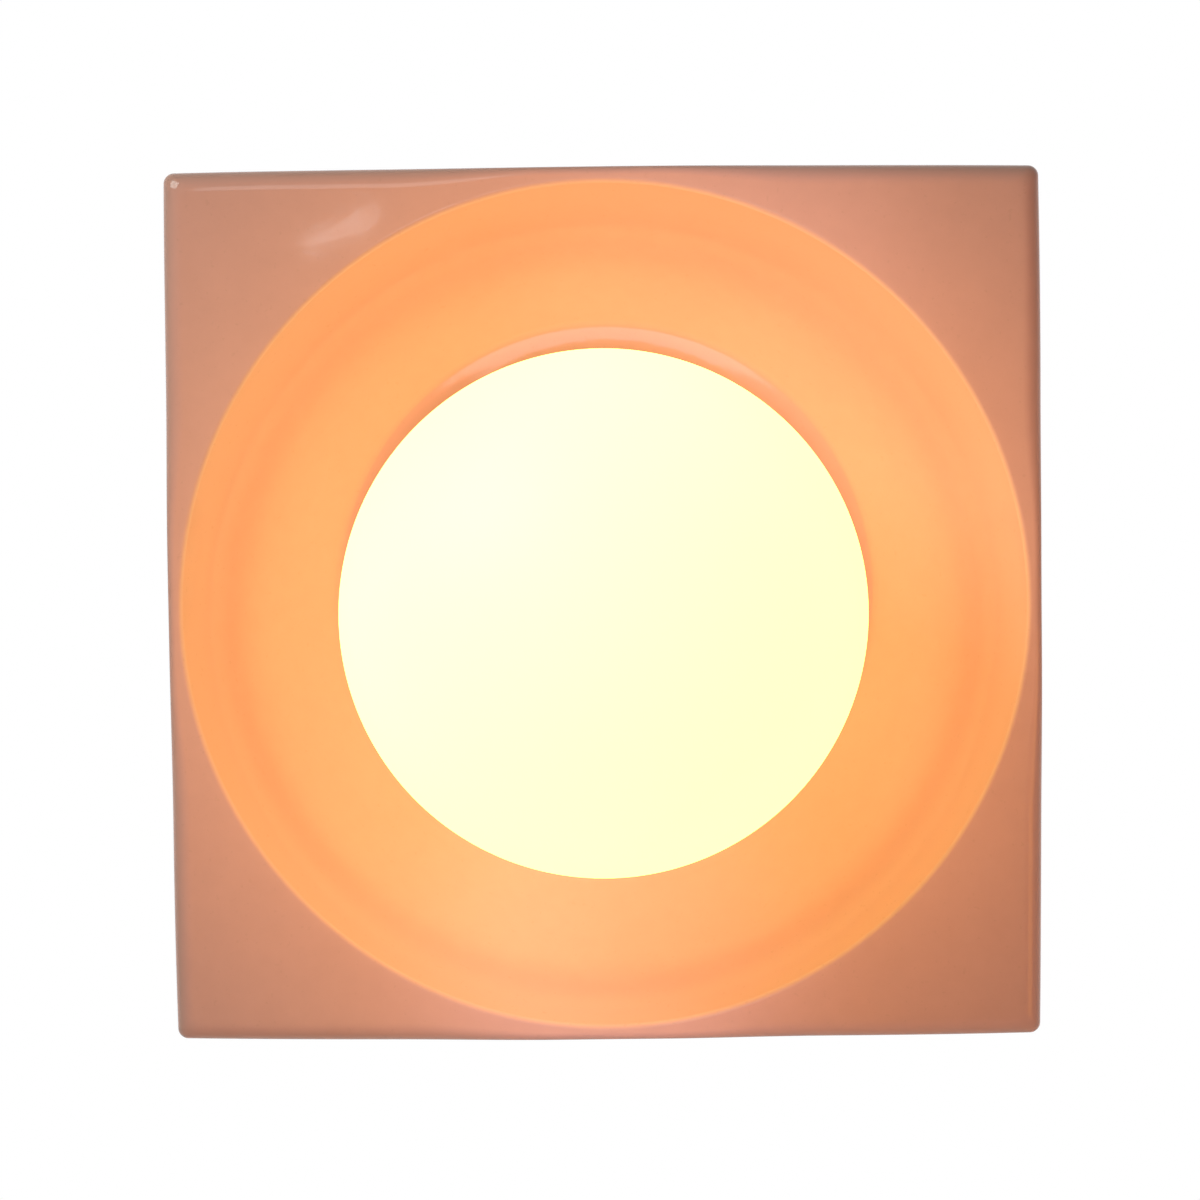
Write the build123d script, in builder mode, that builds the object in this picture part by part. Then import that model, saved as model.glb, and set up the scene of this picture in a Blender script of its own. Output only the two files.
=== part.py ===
from build123d import *
import os
from math import radians, sqrt, tan

# Cube wall sconce: a hollow glazed block with a round dish in its front, a globe lamp that screws into
# a lampholder behind the dish floor, and the steelwork and wiring that hold both to the wall.
#
# Millimetres. The wall is the plane y = 0 and the light stands out from it towards -Y. +Z is up, +X is
# right as seen from the front, and the lamp's axis is the Y axis. "Out" is the distance from the wall,
# so the y of a point is minus its out.

# Ceramic block
body_side = 203.0
body_depth = 203.0
body_wall = 8.0
long_edge_round = 2.4
cavity_round = 5.0
rear_edge_round = 1.0
gasket_t = 3.0
gasket_inset = 1.5

# Dish: part of a sphere whose centre lies in front of the face, cut off by a flat floor
rim_margin = 3.6
dish_floor_depth = 44.5
dish_floor_d = 130.0
rim_round = 1.5
rim_share = 0.42
front_edge_round = 2.0
front_edge_share = 0.55
floor_round = 3.0
floor_hole_d = 58.0

# Globe lamp with a screw cap
globe_d = 120.0
globe_ahead = 19.0
lamp_behind_globe = 52.0
glass_t = 1.2
neck_d = 34.0
neck_blend_r = 20.0
cap_length = 27.0
cap_d = 26.2
cap_t = 0.5
cap_lip_d = 28.0
cap_lip_h = 1.6
cap_shoulder_h = 2.3
cap_mouth_d = 18.6
neck_tuck = 7.0
tip_gap = 0.5
button_d = 9.6
button_face_d = 5.8
button_h = 0.7
insulator_face_d = 12.0
insulator_rise = 1.5
insulator_disc_t = 1.2
button_stem_d = 5.0
stem_d = 9.0
stem_behind = 30.0
stem_flare_h = 6.0
stem_taper_h = 12.0
stem_tip_round = 2.2
filament_count = 4
filament_d = 1.8
filament_length = 41.0
filament_ring_d = 24.0
wire_d = 1.0
driver_board_h = 11.0
driver_board_t = 1.2

# Wall plate
plate_w = 120.0
plate_h = 120.0
plate_t = 2.0
plate_flange = 9.0
plate_bend = 3.0
wall_slot_spacing = 88.9
wall_slot_length = 12.0
wall_slot_w = 5.0
cable_z = -22.0
cable_hole_d = 16.0
grommet_flange_d = 21.0
grommet_flange_t = 2.5
grommet_bore_d = 9.0

# Studs and sleeve nuts that hold the block to the plate
stud_spacing = 92.0
stud_d = 5.0
stud_end_chamfer = 0.6
stud_end_gap = 1.0
stud_head_d = 8.0
stud_head_t = 0.9
seal_washer_d = 11.6
seal_washer_t = 1.0
washer_d = 12.0
washer_t = 0.8
sleeve_d = 7.0
sleeve_l = 8.5
sleeve_room = 0.6
sleeve_head_d = 10.4
sleeve_head_h = 2.0
sleeve_head_round = 0.8
sleeve_slot_w = 1.2
sleeve_slot_depth = 0.9
screw_clear = 0.1
screw_head_round = 1 / 3

# Ring round the lamp's neck in the dish floor
neck_seal_clear = 0.6
neck_seal_lip = 3.0
neck_seal_lip_t = 1.4
neck_seal_fit = 0.1

# Lampholder
holder_d = 44.0
holder_rear_d = 41.0
holder_depth = 33.0
holder_base_t = 12.0
holder_step = 20.0
holder_mouth_d = 31.4
holder_mouth_h = 6.0
holder_mouth_round = 1.5
shell_d = 28.2
shell_t = 0.5
shell_floor_d = 18.0
shell_height = 26.0
shell_fit = 0.3
contact_rise = 3.0
contact_t = 0.8
contact_bend = 1.2
contact_w = 5.0
contact_slot_z = 6.0
channel_depth = 3.0
terminal_w = 8.0
terminal_h = 6.0
terminal_l = 8.0
terminal_z = 14.0
terminal_slack = 0.5
terminal_recess = 2.0
terminal_edge = 0.5
tab_slack = 0.7
terminal_screw_d = 3.0
terminal_screw_head_d = 5.2
terminal_screw_head_h = 1.6

# Strap that carries the lampholder
strap_t = 2.0
strap_w = 20.0
strap_gap = 36.0
strap_foot = 18.0
strap_bend = 3.0
foot_screw_d = 4.0
foot_screw_head_d = 7.6
foot_screw_head_h = 2.6
holder_screw_spacing = 22.0
holder_screw_d = 3.4
holder_screw_head_d = 6.0
holder_screw_head_h = 2.2
holder_screw_reach = 8.0

# Connector, leads and earth
pole_count = 3
pole_pitch = 10.0
block_inset_x = 26.0
block_inset_z = 20.0
block_length_z = 17.0
block_corner_round = 1.2
block_base_h = 8.6
block_tower_h = 4.4
block_tower_d = 6.8
block_tower_spacing = 8.4
barrel_d = 5.8
barrel_bore_d = 2.8
barrel_length = 13.0
barrel_out = 4.3
barrel_fit = 0.1
block_screw_d = 2.6
block_screw_head_d = 3.8
block_screw_head_h = 1.6
block_fixing_d = 3.0
block_fixing_head_d = 5.4
block_fixing_head_h = 2.0
lead_d = 2.2
lead_bend = 0.45
earth_inset_x = 26.0
earth_inset_z = 20.0
earth_screw_d = 4.0
earth_screw_head_d = 7.6
earth_screw_head_h = 2.6
lug_d = 9.0
lug_t = 1.0
lug_barrel_d = 3.4
lug_barrel_l = 7.0
lug_reach = 12.5
screw_end_gap = 0.3

# Places that follow from these
rim_r = body_side / 2 - rim_margin
rim_fillet = min(rim_round, rim_share * rim_margin)
front_edge_fillet = min(front_edge_round, front_edge_share * rim_margin)
dish_centre_ahead = (rim_r**2 - (dish_floor_d / 2) ** 2 - dish_floor_depth**2) / (2 * dish_floor_depth)
dish_r = sqrt(rim_r**2 + dish_centre_ahead**2)
dish_centre_out = body_depth + dish_centre_ahead
floor_out = body_depth - dish_floor_depth
floor_back_out = floor_out - body_wall
cavity_side = body_side - 2 * body_wall
globe_out = body_depth + globe_ahead
tip_out = globe_out - globe_d / 2 - lamp_behind_globe
cap_rim_out = tip_out + cap_length
holder_floor_out = tip_out - tip_gap - contact_rise
holder_rear_out = holder_floor_out - holder_base_t
holder_mouth_out = holder_floor_out + holder_depth
strap_web_out = holder_rear_out - strap_t
leg_x = strap_gap / 2
foot_end_x = leg_x + strap_t + strap_foot
shell_bore_d = shell_d + 2 * shell_fit
notch_depth = terminal_l + terminal_recess
notch_floor_out = holder_rear_out + notch_depth
terminal_out = notch_floor_out - terminal_l
notch_inner_z = terminal_z - contact_t - tab_slack
nut_seat_out = floor_out + seal_washer_t + washer_t
stud_length = nut_seat_out - stud_end_gap
stud_hole_d = sleeve_d + 2 * sleeve_room
foot_screw_spacing = strap_gap + 2 * strap_t + strap_foot
block_x = -(plate_w / 2 - block_inset_x)
block_z = -(plate_h / 2 - block_inset_z)
earth_x = -(plate_w / 2 - earth_inset_x)
earth_z = plate_h / 2 - earth_inset_z
pole_xs = [block_x + (i - (pole_count - 1) / 2) * pole_pitch for i in range(pole_count)]
tower_ends = [(x, block_z + side * block_tower_spacing / 2) for x in pole_xs for side in (1, -1)]
barrel_axis_out = plate_t + barrel_out
block_fixing_x = block_x + pole_pitch / 2
lug_axis_out = plate_t + lug_barrel_d / 2
tab_z = terminal_z - contact_t / 2
channel_mid_out = holder_rear_out + channel_depth / 2
button_stem_r = button_stem_d / 2
neck_tuck_d = cap_d - 2 * cap_t - 2 * tip_gap


def out(distance: float) -> Plane:
    """Plane parallel to the wall, at this distance from it, facing the room."""
    return Plane.XZ.offset(distance)


def neck_radius(out_distance: float) -> float:
    """Outer radius of the lamp's glass at a place behind its globe, along the blend into the neck."""
    behind = globe_out - out_distance
    blend_behind = sqrt((globe_d / 2 + neck_blend_r) ** 2 - (neck_d / 2 + neck_blend_r) ** 2)
    if behind >= blend_behind:
        return neck_d / 2
    return neck_d / 2 + neck_blend_r - sqrt(neck_blend_r**2 - (blend_behind - behind) ** 2)


def half_section(*radius_out: tuple[float, float]) -> None:
    """Closed half section of a turned piece, from pairs of radius and out."""
    Polygon(*[(radius, -distance) for radius, distance in radius_out], align=None)


def dish_section(sphere_r: float, rear_out: float) -> None:
    """Half section of a dish: a disc of the sphere between a flat floor and the front face."""
    with Locations((0, -dish_centre_out)):
        Circle(sphere_r)
    with Locations((0, -rear_out)):
        Rectangle(sphere_r, body_depth - rear_out, align=(Align.MIN, Align.MAX), mode=Mode.INTERSECT)


def lead_path_radii(points: list[tuple[float, float, float]]) -> list[float]:
    """Bend radius at each corner of a lead's route, as large as its two runs allow."""
    corners = [Vector(*point) for point in points]
    radii = []
    for before, corner, after in zip(corners, corners[1:], corners[2:]):
        turn = (corner - before).get_angle(after - corner)
        run = min((corner - before).length, (after - corner).length)
        radii.append(lead_bend * run / tan(radians(turn) / 2))
    return radii


# Block
with BuildPart() as dish_back:
    with BuildSketch(Plane.XY):
        dish_section(dish_r + body_wall, floor_back_out)
    revolve(axis=Axis.Y)

with BuildPart() as cavity:
    with BuildSketch(out(gasket_t)):
        RectangleRounded(cavity_side, cavity_side, cavity_round)
    extrude(amount=body_depth - body_wall - gasket_t)
    add(dish_back.part, mode=Mode.SUBTRACT)

with BuildPart() as ceramic_body:
    with BuildSketch(out(gasket_t)):
        RectangleRounded(body_side, body_side, long_edge_round)
    extrude(amount=body_depth - gasket_t)
    fillet(ceramic_body.faces().sort_by(Axis.Y)[0].edges(), front_edge_fillet)
    fillet(ceramic_body.faces().sort_by(Axis.Y)[-1].edges(), rear_edge_round)
    add(cavity.part, mode=Mode.SUBTRACT)
    with BuildSketch(Plane.XY):
        dish_section(dish_r, floor_out)
    revolve(axis=Axis.Y, mode=Mode.SUBTRACT)
    dish_floor = ceramic_body.faces().filter_by(Plane.XZ).filter_by_position(Axis.Y, -floor_out, -floor_out)
    fillet(dish_floor.edges(), floor_round)
    with BuildSketch(out(floor_back_out)):
        Circle(floor_hole_d / 2)
        with GridLocations(stud_spacing, 1, 2, 1):
            Circle(stud_hole_d / 2)
    extrude(amount=body_wall, mode=Mode.SUBTRACT)
    fillet(ceramic_body.faces().filter_by(Plane.XZ).sort_by(Axis.Y)[0].inner_wires()[0].edges(), rim_fillet)

with BuildPart() as wall_gasket:
    with BuildSketch(out(0)):
        gasket_side = body_side - 2 * gasket_inset
        gasket_bore = cavity_side + 2 * gasket_inset
        RectangleRounded(gasket_side, gasket_side, long_edge_round)
        RectangleRounded(gasket_bore, gasket_bore, cavity_round, mode=Mode.SUBTRACT)
    extrude(amount=gasket_t)

# Plate on the wall, with its top and bottom edges turned towards the room
with BuildPart() as wall_plate:
    with BuildSketch(Plane.YZ):
        with BuildLine():
            FilletPolyline(
                (-plate_flange, plate_h / 2),
                (0, plate_h / 2),
                (0, -plate_h / 2),
                (-plate_flange, -plate_h / 2),
                radius=plate_bend,
            )
            offset(amount=plate_t, side=Side.RIGHT)
        make_face()
    extrude(amount=plate_w / 2, both=True)
    with BuildSketch(out(0)):
        with GridLocations(1, wall_slot_spacing, 1, 2):
            SlotOverall(wall_slot_length, wall_slot_w, rotation=90)
        with Locations((0, cable_z)):
            Circle(cable_hole_d / 2)
        with GridLocations(stud_spacing, 1, 2, 1):
            Circle(stud_d / 2 + screw_clear)
        with GridLocations(foot_screw_spacing, 1, 2, 1):
            Circle(foot_screw_d / 2 + screw_clear)
        with Locations((block_fixing_x, block_z)):
            Circle(block_fixing_d / 2 + screw_clear)
        with Locations((earth_x, earth_z)):
            Circle(earth_screw_d / 2 + screw_clear)
    extrude(amount=plate_t, mode=Mode.SUBTRACT)
    with BuildSketch(out(0)):
        with GridLocations(stud_spacing, 1, 2, 1):
            Circle(stud_head_d / 2 + screw_clear)
    extrude(amount=stud_head_t, mode=Mode.SUBTRACT)

with BuildPart() as cable_grommet:
    with BuildSketch(out(0)):
        with Locations((0, cable_z)):
            Circle(cable_hole_d / 2 - screw_clear)
    extrude(amount=plate_t)
    with BuildSketch(out(plate_t)):
        with Locations((0, cable_z)):
            Circle(grommet_flange_d / 2)
    extrude(amount=grommet_flange_t)
    fillet(cable_grommet.faces().sort_by(Axis.Y)[0].edges(), grommet_flange_t / 2)
    with BuildSketch(out(0)):
        with Locations((0, cable_z)):
            Circle(grommet_bore_d / 2)
    extrude(amount=plate_t + grommet_flange_t, mode=Mode.SUBTRACT)

# Studs, washers and nuts
with BuildPart() as body_studs:
    with BuildSketch(out(0)):
        with GridLocations(stud_spacing, 1, 2, 1):
            Circle(stud_head_d / 2)
    extrude(amount=stud_head_t)
    with BuildSketch(out(0)):
        with GridLocations(stud_spacing, 1, 2, 1):
            Circle(stud_d / 2)
    extrude(amount=stud_length)
    chamfer(body_studs.faces().group_by(Axis.Y)[0].edges(), stud_end_chamfer)

with BuildPart() as floor_seal_washers:
    with BuildSketch(out(floor_out)):
        with GridLocations(stud_spacing, 1, 2, 1):
            Circle(seal_washer_d / 2)
            Circle(sleeve_d / 2 + screw_clear, mode=Mode.SUBTRACT)
    extrude(amount=seal_washer_t)

with BuildPart() as floor_washers:
    with BuildSketch(out(floor_out + seal_washer_t)):
        with GridLocations(stud_spacing, 1, 2, 1):
            Circle(washer_d / 2)
            Circle(sleeve_d / 2 + screw_clear, mode=Mode.SUBTRACT)
    extrude(amount=washer_t)

with BuildPart() as sleeve_nuts:
    with BuildSketch(out(nut_seat_out)):
        with GridLocations(stud_spacing, 1, 2, 1):
            Circle(sleeve_head_d / 2)
    extrude(amount=sleeve_head_h)
    fillet(sleeve_nuts.faces().group_by(Axis.Y)[0].edges(), sleeve_head_round)
    with BuildSketch(out(nut_seat_out + sleeve_head_h - sleeve_slot_depth)):
        with GridLocations(stud_spacing, 1, 2, 1):
            Rectangle(sleeve_slot_w, sleeve_head_d)
    extrude(amount=sleeve_slot_depth, mode=Mode.SUBTRACT)
    with BuildSketch(out(nut_seat_out - sleeve_l)):
        with GridLocations(stud_spacing, 1, 2, 1):
            Circle(sleeve_d / 2)
            Circle(stud_d / 2 + screw_clear, mode=Mode.SUBTRACT)
    extrude(amount=sleeve_l)

with BuildPart() as neck_seal:
    seal_front_out = floor_out + neck_seal_lip_t
    seal_rear_out = floor_back_out - neck_seal_lip_t
    seal_bore_r = neck_radius(seal_front_out) + neck_seal_clear
    seal_groove_r = floor_hole_d / 2 - neck_seal_fit
    seal_lip_r = floor_hole_d / 2 + neck_seal_lip
    with BuildSketch(Plane.XY):
        half_section(
            (seal_bore_r, seal_front_out),
            (seal_lip_r, seal_front_out),
            (seal_lip_r, floor_out),
            (seal_groove_r, floor_out),
            (seal_groove_r, floor_back_out),
            (seal_lip_r, floor_back_out),
            (seal_lip_r, seal_rear_out),
            (seal_groove_r - neck_seal_lip, seal_rear_out),
            (seal_groove_r - neck_seal_lip, floor_out),
            (seal_bore_r, floor_out),
        )
    revolve(axis=Axis.Y)

# Strap and lampholder
with BuildPart() as holder_bracket:
    with BuildSketch(Plane.XY):
        with BuildLine():
            FilletPolyline(
                (-foot_end_x, -plate_t),
                (-leg_x, -plate_t),
                (-leg_x, -strap_web_out),
                (leg_x, -strap_web_out),
                (leg_x, -plate_t),
                (foot_end_x, -plate_t),
                radius=strap_bend,
            )
            offset(amount=strap_t, side=Side.RIGHT)
        make_face()
    extrude(amount=strap_w / 2, both=True)
    with BuildSketch(out(plate_t)):
        with GridLocations(foot_screw_spacing, 1, 2, 1):
            Circle(foot_screw_d / 2 + screw_clear)
    extrude(amount=strap_t, mode=Mode.SUBTRACT)
    with BuildSketch(out(strap_web_out)):
        with GridLocations(holder_screw_spacing, 1, 2, 1):
            Circle(holder_screw_d / 2 + screw_clear)
    extrude(amount=strap_t, mode=Mode.SUBTRACT)

with BuildPart() as bracket_screws:
    with BuildSketch(out(screw_end_gap)):
        with GridLocations(foot_screw_spacing, 1, 2, 1):
            Circle(foot_screw_d / 2)
    extrude(amount=plate_t + strap_t - screw_end_gap)
    with BuildSketch(out(plate_t + strap_t)):
        with GridLocations(foot_screw_spacing, 1, 2, 1):
            Circle(foot_screw_head_d / 2)
    extrude(amount=foot_screw_head_h)
    fillet(bracket_screws.faces().group_by(Axis.Y)[0].edges(), screw_head_round * foot_screw_head_h)

with BuildPart() as holder_body:
    with BuildSketch(Plane.XY):
        half_section(
            (0, holder_rear_out),
            (holder_rear_d / 2, holder_rear_out),
            (holder_rear_d / 2, holder_rear_out + holder_step),
            (holder_d / 2, holder_rear_out + holder_step + (holder_d - holder_rear_d) / 2),
            (holder_d / 2, holder_mouth_out),
            (holder_mouth_d / 2, holder_mouth_out),
            (holder_mouth_d / 2, holder_mouth_out - holder_mouth_h),
            (shell_bore_d / 2, holder_mouth_out - holder_mouth_h),
            (shell_bore_d / 2, holder_floor_out),
            (0, holder_floor_out),
        )
    revolve(axis=Axis.Y)
    fillet(holder_body.faces().sort_by(Axis.Y)[0].edges(), holder_mouth_round)
    with BuildSketch(out(holder_rear_out)):
        for side in (1, -1):
            with Locations((0, side * (notch_inner_z + holder_d / 2) / 2)):
                Rectangle(terminal_w + 2 * terminal_slack, holder_d / 2 - notch_inner_z)
    extrude(amount=notch_depth, mode=Mode.SUBTRACT)
    with BuildSketch(out(holder_rear_out)):
        with Locations((0, (contact_slot_z + notch_inner_z) / 2)):
            Rectangle(contact_w + 2 * terminal_slack, notch_inner_z - contact_slot_z + 2 * contact_t)
    extrude(amount=channel_depth, mode=Mode.SUBTRACT)
    with BuildSketch(out(holder_rear_out)):
        with Locations((0, contact_slot_z)):
            Rectangle(contact_w + 2 * terminal_slack, 2 * contact_t)
        with Locations((0, -tab_z)):
            Rectangle(contact_w + 2 * terminal_slack, 2 * contact_t)
    extrude(amount=holder_base_t, mode=Mode.SUBTRACT)
    with BuildSketch(out(holder_rear_out)):
        with GridLocations(holder_screw_spacing, 1, 2, 1):
            Circle(holder_screw_d / 2 + screw_clear)
    extrude(amount=holder_screw_reach + screw_end_gap, mode=Mode.SUBTRACT)

with BuildPart() as holder_screws:
    with BuildSketch(out(strap_web_out)):
        with GridLocations(holder_screw_spacing, 1, 2, 1):
            Circle(holder_screw_d / 2)
    extrude(amount=strap_t + holder_screw_reach)
    with BuildSketch(out(strap_web_out - holder_screw_head_h)):
        with GridLocations(holder_screw_spacing, 1, 2, 1):
            Circle(holder_screw_head_d / 2)
    extrude(amount=holder_screw_head_h)
    fillet(holder_screws.faces().group_by(Axis.Y)[-1].edges(), screw_head_round * holder_screw_head_h)

with BuildPart() as screw_shell:
    with BuildSketch(Plane.XY):
        half_section(
            (shell_floor_d / 2, holder_floor_out),
            (shell_d / 2, holder_floor_out),
            (shell_d / 2, holder_floor_out + shell_height),
            (shell_d / 2 - shell_t, holder_floor_out + shell_height),
            (shell_d / 2 - shell_t, holder_floor_out + shell_t),
            (shell_floor_d / 2, holder_floor_out + shell_t),
        )
    revolve(axis=Axis.Y)
    with BuildSketch(out(terminal_out)):
        with Locations((0, -tab_z)):
            Rectangle(contact_w, contact_t)
    extrude(amount=holder_floor_out - terminal_out)

with BuildPart() as centre_contact:
    with BuildSketch(Plane.YZ):
        with BuildLine():
            FilletPolyline(
                (-holder_floor_out - contact_rise, -contact_w / 2),
                (-holder_floor_out - contact_rise, contact_w / 2),
                (-holder_floor_out - contact_t, contact_slot_z + contact_t / 2),
                (-channel_mid_out, contact_slot_z + contact_t / 2),
                (-channel_mid_out, terminal_z - contact_t),
                (-terminal_out - terminal_l / 2, terminal_z - contact_t),
                radius=contact_bend,
            )
            offset(amount=contact_t, side=Side.RIGHT)
        make_face()
    extrude(amount=contact_w / 2, both=True)

with BuildPart() as holder_terminals:
    with BuildSketch(out(terminal_out)):
        with GridLocations(1, 2 * terminal_z + terminal_h, 1, 2):
            Rectangle(terminal_w, terminal_h)
    extrude(amount=terminal_l)
    chamfer(holder_terminals.edges().filter_by(Axis.Y), terminal_edge)
    for side in (1, -1):
        face_z = side * (terminal_z + terminal_h)
        with BuildSketch(Plane.XY.offset(face_z)):
            with Locations((0, -terminal_out - terminal_l / 2)):
                Circle(terminal_screw_d / 2 + screw_clear)
        extrude(amount=-side * terminal_h / 2, mode=Mode.SUBTRACT)

with BuildPart() as holder_terminal_screws:
    for side in (1, -1):
        face_z = side * (terminal_z + terminal_h)
        with BuildSketch(Plane.XY.offset(face_z)):
            with Locations((0, -terminal_out - terminal_l / 2)):
                Circle(terminal_screw_head_d / 2)
        extrude(amount=side * terminal_screw_head_h)
        with BuildSketch(Plane.XY.offset(face_z)):
            with Locations((0, -terminal_out - terminal_l / 2)):
                Circle(terminal_screw_d / 2)
        extrude(amount=-side * (terminal_h / 2 - screw_end_gap))

# Connector block on the plate
with BuildPart() as terminal_block:
    with BuildSketch(out(plate_t)):
        with Locations((block_x, block_z)):
            RectangleRounded(pole_count * pole_pitch, block_length_z, block_corner_round)
    extrude(amount=block_base_h)
    with BuildSketch(out(plate_t + block_base_h)):
        with Locations(*tower_ends):
            Circle(block_tower_d / 2)
    extrude(amount=block_tower_h)
    with BuildSketch(out(barrel_axis_out)):
        with Locations(*tower_ends):
            Circle(block_screw_head_d / 2 + barrel_fit)
    extrude(amount=block_base_h + block_tower_h - barrel_out, mode=Mode.SUBTRACT)
    with BuildSketch(Plane.XY.offset(block_z - block_length_z / 2)):
        with Locations(*[(x, -barrel_axis_out) for x in pole_xs]):
            Circle(barrel_d / 2 + barrel_fit)
    extrude(amount=block_length_z, mode=Mode.SUBTRACT)
    with BuildSketch(out(plate_t)):
        with Locations((block_fixing_x, block_z)):
            Circle(block_fixing_d / 2 + screw_clear)
    extrude(amount=block_base_h, mode=Mode.SUBTRACT)

with BuildPart() as block_barrels:
    with BuildSketch(Plane.XY.offset(block_z - barrel_length / 2)):
        with Locations(*[(x, -barrel_axis_out) for x in pole_xs]):
            Circle(barrel_d / 2)
            Circle(barrel_bore_d / 2, mode=Mode.SUBTRACT)
    extrude(amount=barrel_length)
    with BuildSketch(out(barrel_axis_out)):
        with Locations(*tower_ends):
            Circle(block_screw_d / 2 + screw_clear)
    extrude(amount=barrel_d, mode=Mode.SUBTRACT)

with BuildPart() as block_screws:
    screw_seat_out = barrel_axis_out + barrel_d / 2
    with BuildSketch(out(barrel_axis_out)):
        with Locations(*tower_ends):
            Circle(block_screw_d / 2)
    extrude(amount=barrel_d / 2)
    with BuildSketch(out(screw_seat_out)):
        with Locations(*tower_ends):
            Circle(block_screw_head_d / 2)
    extrude(amount=block_screw_head_h)

with BuildPart() as block_fixing_screw:
    with BuildSketch(out(screw_end_gap)):
        with Locations((block_fixing_x, block_z)):
            Circle(block_fixing_d / 2)
    extrude(amount=plate_t + block_base_h - screw_end_gap)
    with BuildSketch(out(plate_t + block_base_h)):
        with Locations((block_fixing_x, block_z)):
            Circle(block_fixing_head_d / 2)
    extrude(amount=block_fixing_head_h)
    fillet(block_fixing_screw.faces().sort_by(Axis.Y)[0].edges(), screw_head_round * block_fixing_head_h)

# Earth point on the plate: a ring lug under a screw
with BuildPart() as earth_lug:
    with BuildSketch(out(plate_t)):
        with Locations((earth_x, earth_z)):
            Circle(lug_d / 2)
        with Locations((earth_x, earth_z - lug_reach / 2)):
            Rectangle(lug_barrel_d, lug_reach)
        with Locations((earth_x, earth_z)):
            Circle(earth_screw_d / 2 + screw_clear, mode=Mode.SUBTRACT)
    extrude(amount=lug_t)
    with BuildSketch(Plane.XY.offset(earth_z - lug_reach)):
        with Locations((earth_x, -lug_axis_out)):
            Circle(lug_barrel_d / 2)
    extrude(amount=lug_barrel_l)

with BuildPart() as earth_screw:
    with BuildSketch(out(screw_end_gap)):
        with Locations((earth_x, earth_z)):
            Circle(earth_screw_d / 2)
    extrude(amount=plate_t + lug_t - screw_end_gap)
    with BuildSketch(out(plate_t + lug_t)):
        with Locations((earth_x, earth_z)):
            Circle(earth_screw_head_d / 2)
    extrude(amount=earth_screw_head_h)
    fillet(earth_screw.faces().sort_by(Axis.Y)[0].edges(), screw_head_round * earth_screw_head_h)

# Leads: each leaves the connector upwards and runs clear of the strap to its terminal
lead_start_z = block_z + barrel_length / 2
terminal_mid_z = terminal_z + terminal_h / 2
live_route = [
    (pole_xs[0], -barrel_axis_out, lead_start_z),
    (pole_xs[0], -barrel_axis_out, lead_start_z + 15),
    (block_x, -plate_t - 34, lead_start_z + 30),
    (-leg_x - strap_t - 6, -terminal_out + 31, terminal_mid_z - 3),
    (0, -terminal_out + 13, terminal_mid_z),
    (0, -terminal_out, terminal_mid_z),
]
earth_route = [
    (pole_xs[1], -barrel_axis_out, lead_start_z),
    (pole_xs[1], -barrel_axis_out, lead_start_z + 11),
    (pole_xs[1] + 1, -plate_t - 14, lead_start_z + 24),
    (pole_xs[1] + 1, -plate_t - 14, earth_z - lug_reach - 17),
    (earth_x, -lug_axis_out, earth_z - lug_reach - 7),
    (earth_x, -lug_axis_out, earth_z - lug_reach),
]
neutral_route = [
    (pole_xs[2], -barrel_axis_out, lead_start_z),
    (pole_xs[2], -barrel_axis_out, lead_start_z + 8),
    (pole_xs[2], -plate_t - 14, lead_start_z + 16),
    (pole_xs[2], -plate_t - 43, -terminal_mid_z - 1),
    (0, -terminal_out + 27, -terminal_mid_z),
    (0, -terminal_out, -terminal_mid_z),
]

with BuildPart() as live_lead:
    with BuildLine() as live_path:
        FilletPolyline(*live_route, radius=lead_path_radii(live_route))
    with BuildSketch(Plane(live_path.line @ 0, z_dir=live_path.line % 0)):
        Circle(lead_d / 2)
    sweep(path=live_path.line)

with BuildPart() as earth_lead:
    with BuildLine() as earth_path:
        FilletPolyline(*earth_route, radius=lead_path_radii(earth_route))
    with BuildSketch(Plane(earth_path.line @ 0, z_dir=earth_path.line % 0)):
        Circle(lead_d / 2)
    sweep(path=earth_path.line)

with BuildPart() as neutral_lead:
    with BuildLine() as neutral_path:
        FilletPolyline(*neutral_route, radius=lead_path_radii(neutral_route))
    with BuildSketch(Plane(neutral_path.line @ 0, z_dir=neutral_path.line % 0)):
        Circle(lead_d / 2)
    sweep(path=neutral_path.line)

# Globe lamp
with BuildPart() as lamp_globe:
    neck_end_out = cap_rim_out - neck_tuck
    shoulder_out = cap_rim_out + cap_lip_h
    with BuildSketch(Plane.XY):
        for inset, mode in ((0, Mode.ADD), (glass_t, Mode.SUBTRACT)):
            ball = globe_d / 2 - inset
            neck = neck_d / 2 - inset
            blend = neck_blend_r + inset
            tuck = neck_tuck_d / 2 - inset
            blend_behind = sqrt((ball + blend) ** 2 - (neck + blend) ** 2)
            share = ball / (ball + blend)
            pole = (0, -globe_out - ball)
            equator = (ball, -globe_out)
            blend_start = (share * (neck + blend), -globe_out + share * blend_behind)
            blend_end = (neck, -globe_out + blend_behind)
            with BuildLine():
                RadiusArc(pole, equator, -ball)
                RadiusArc(equator, blend_start, -ball)
                RadiusArc(blend_start, blend_end, blend)
                Polyline(
                    blend_end,
                    (neck, -shoulder_out - (neck - tuck)),
                    (tuck, -shoulder_out),
                    (tuck, -neck_end_out),
                    (0, -neck_end_out),
                    pole,
                )
            make_face(mode=mode)
    revolve(axis=Axis.Y)

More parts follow.
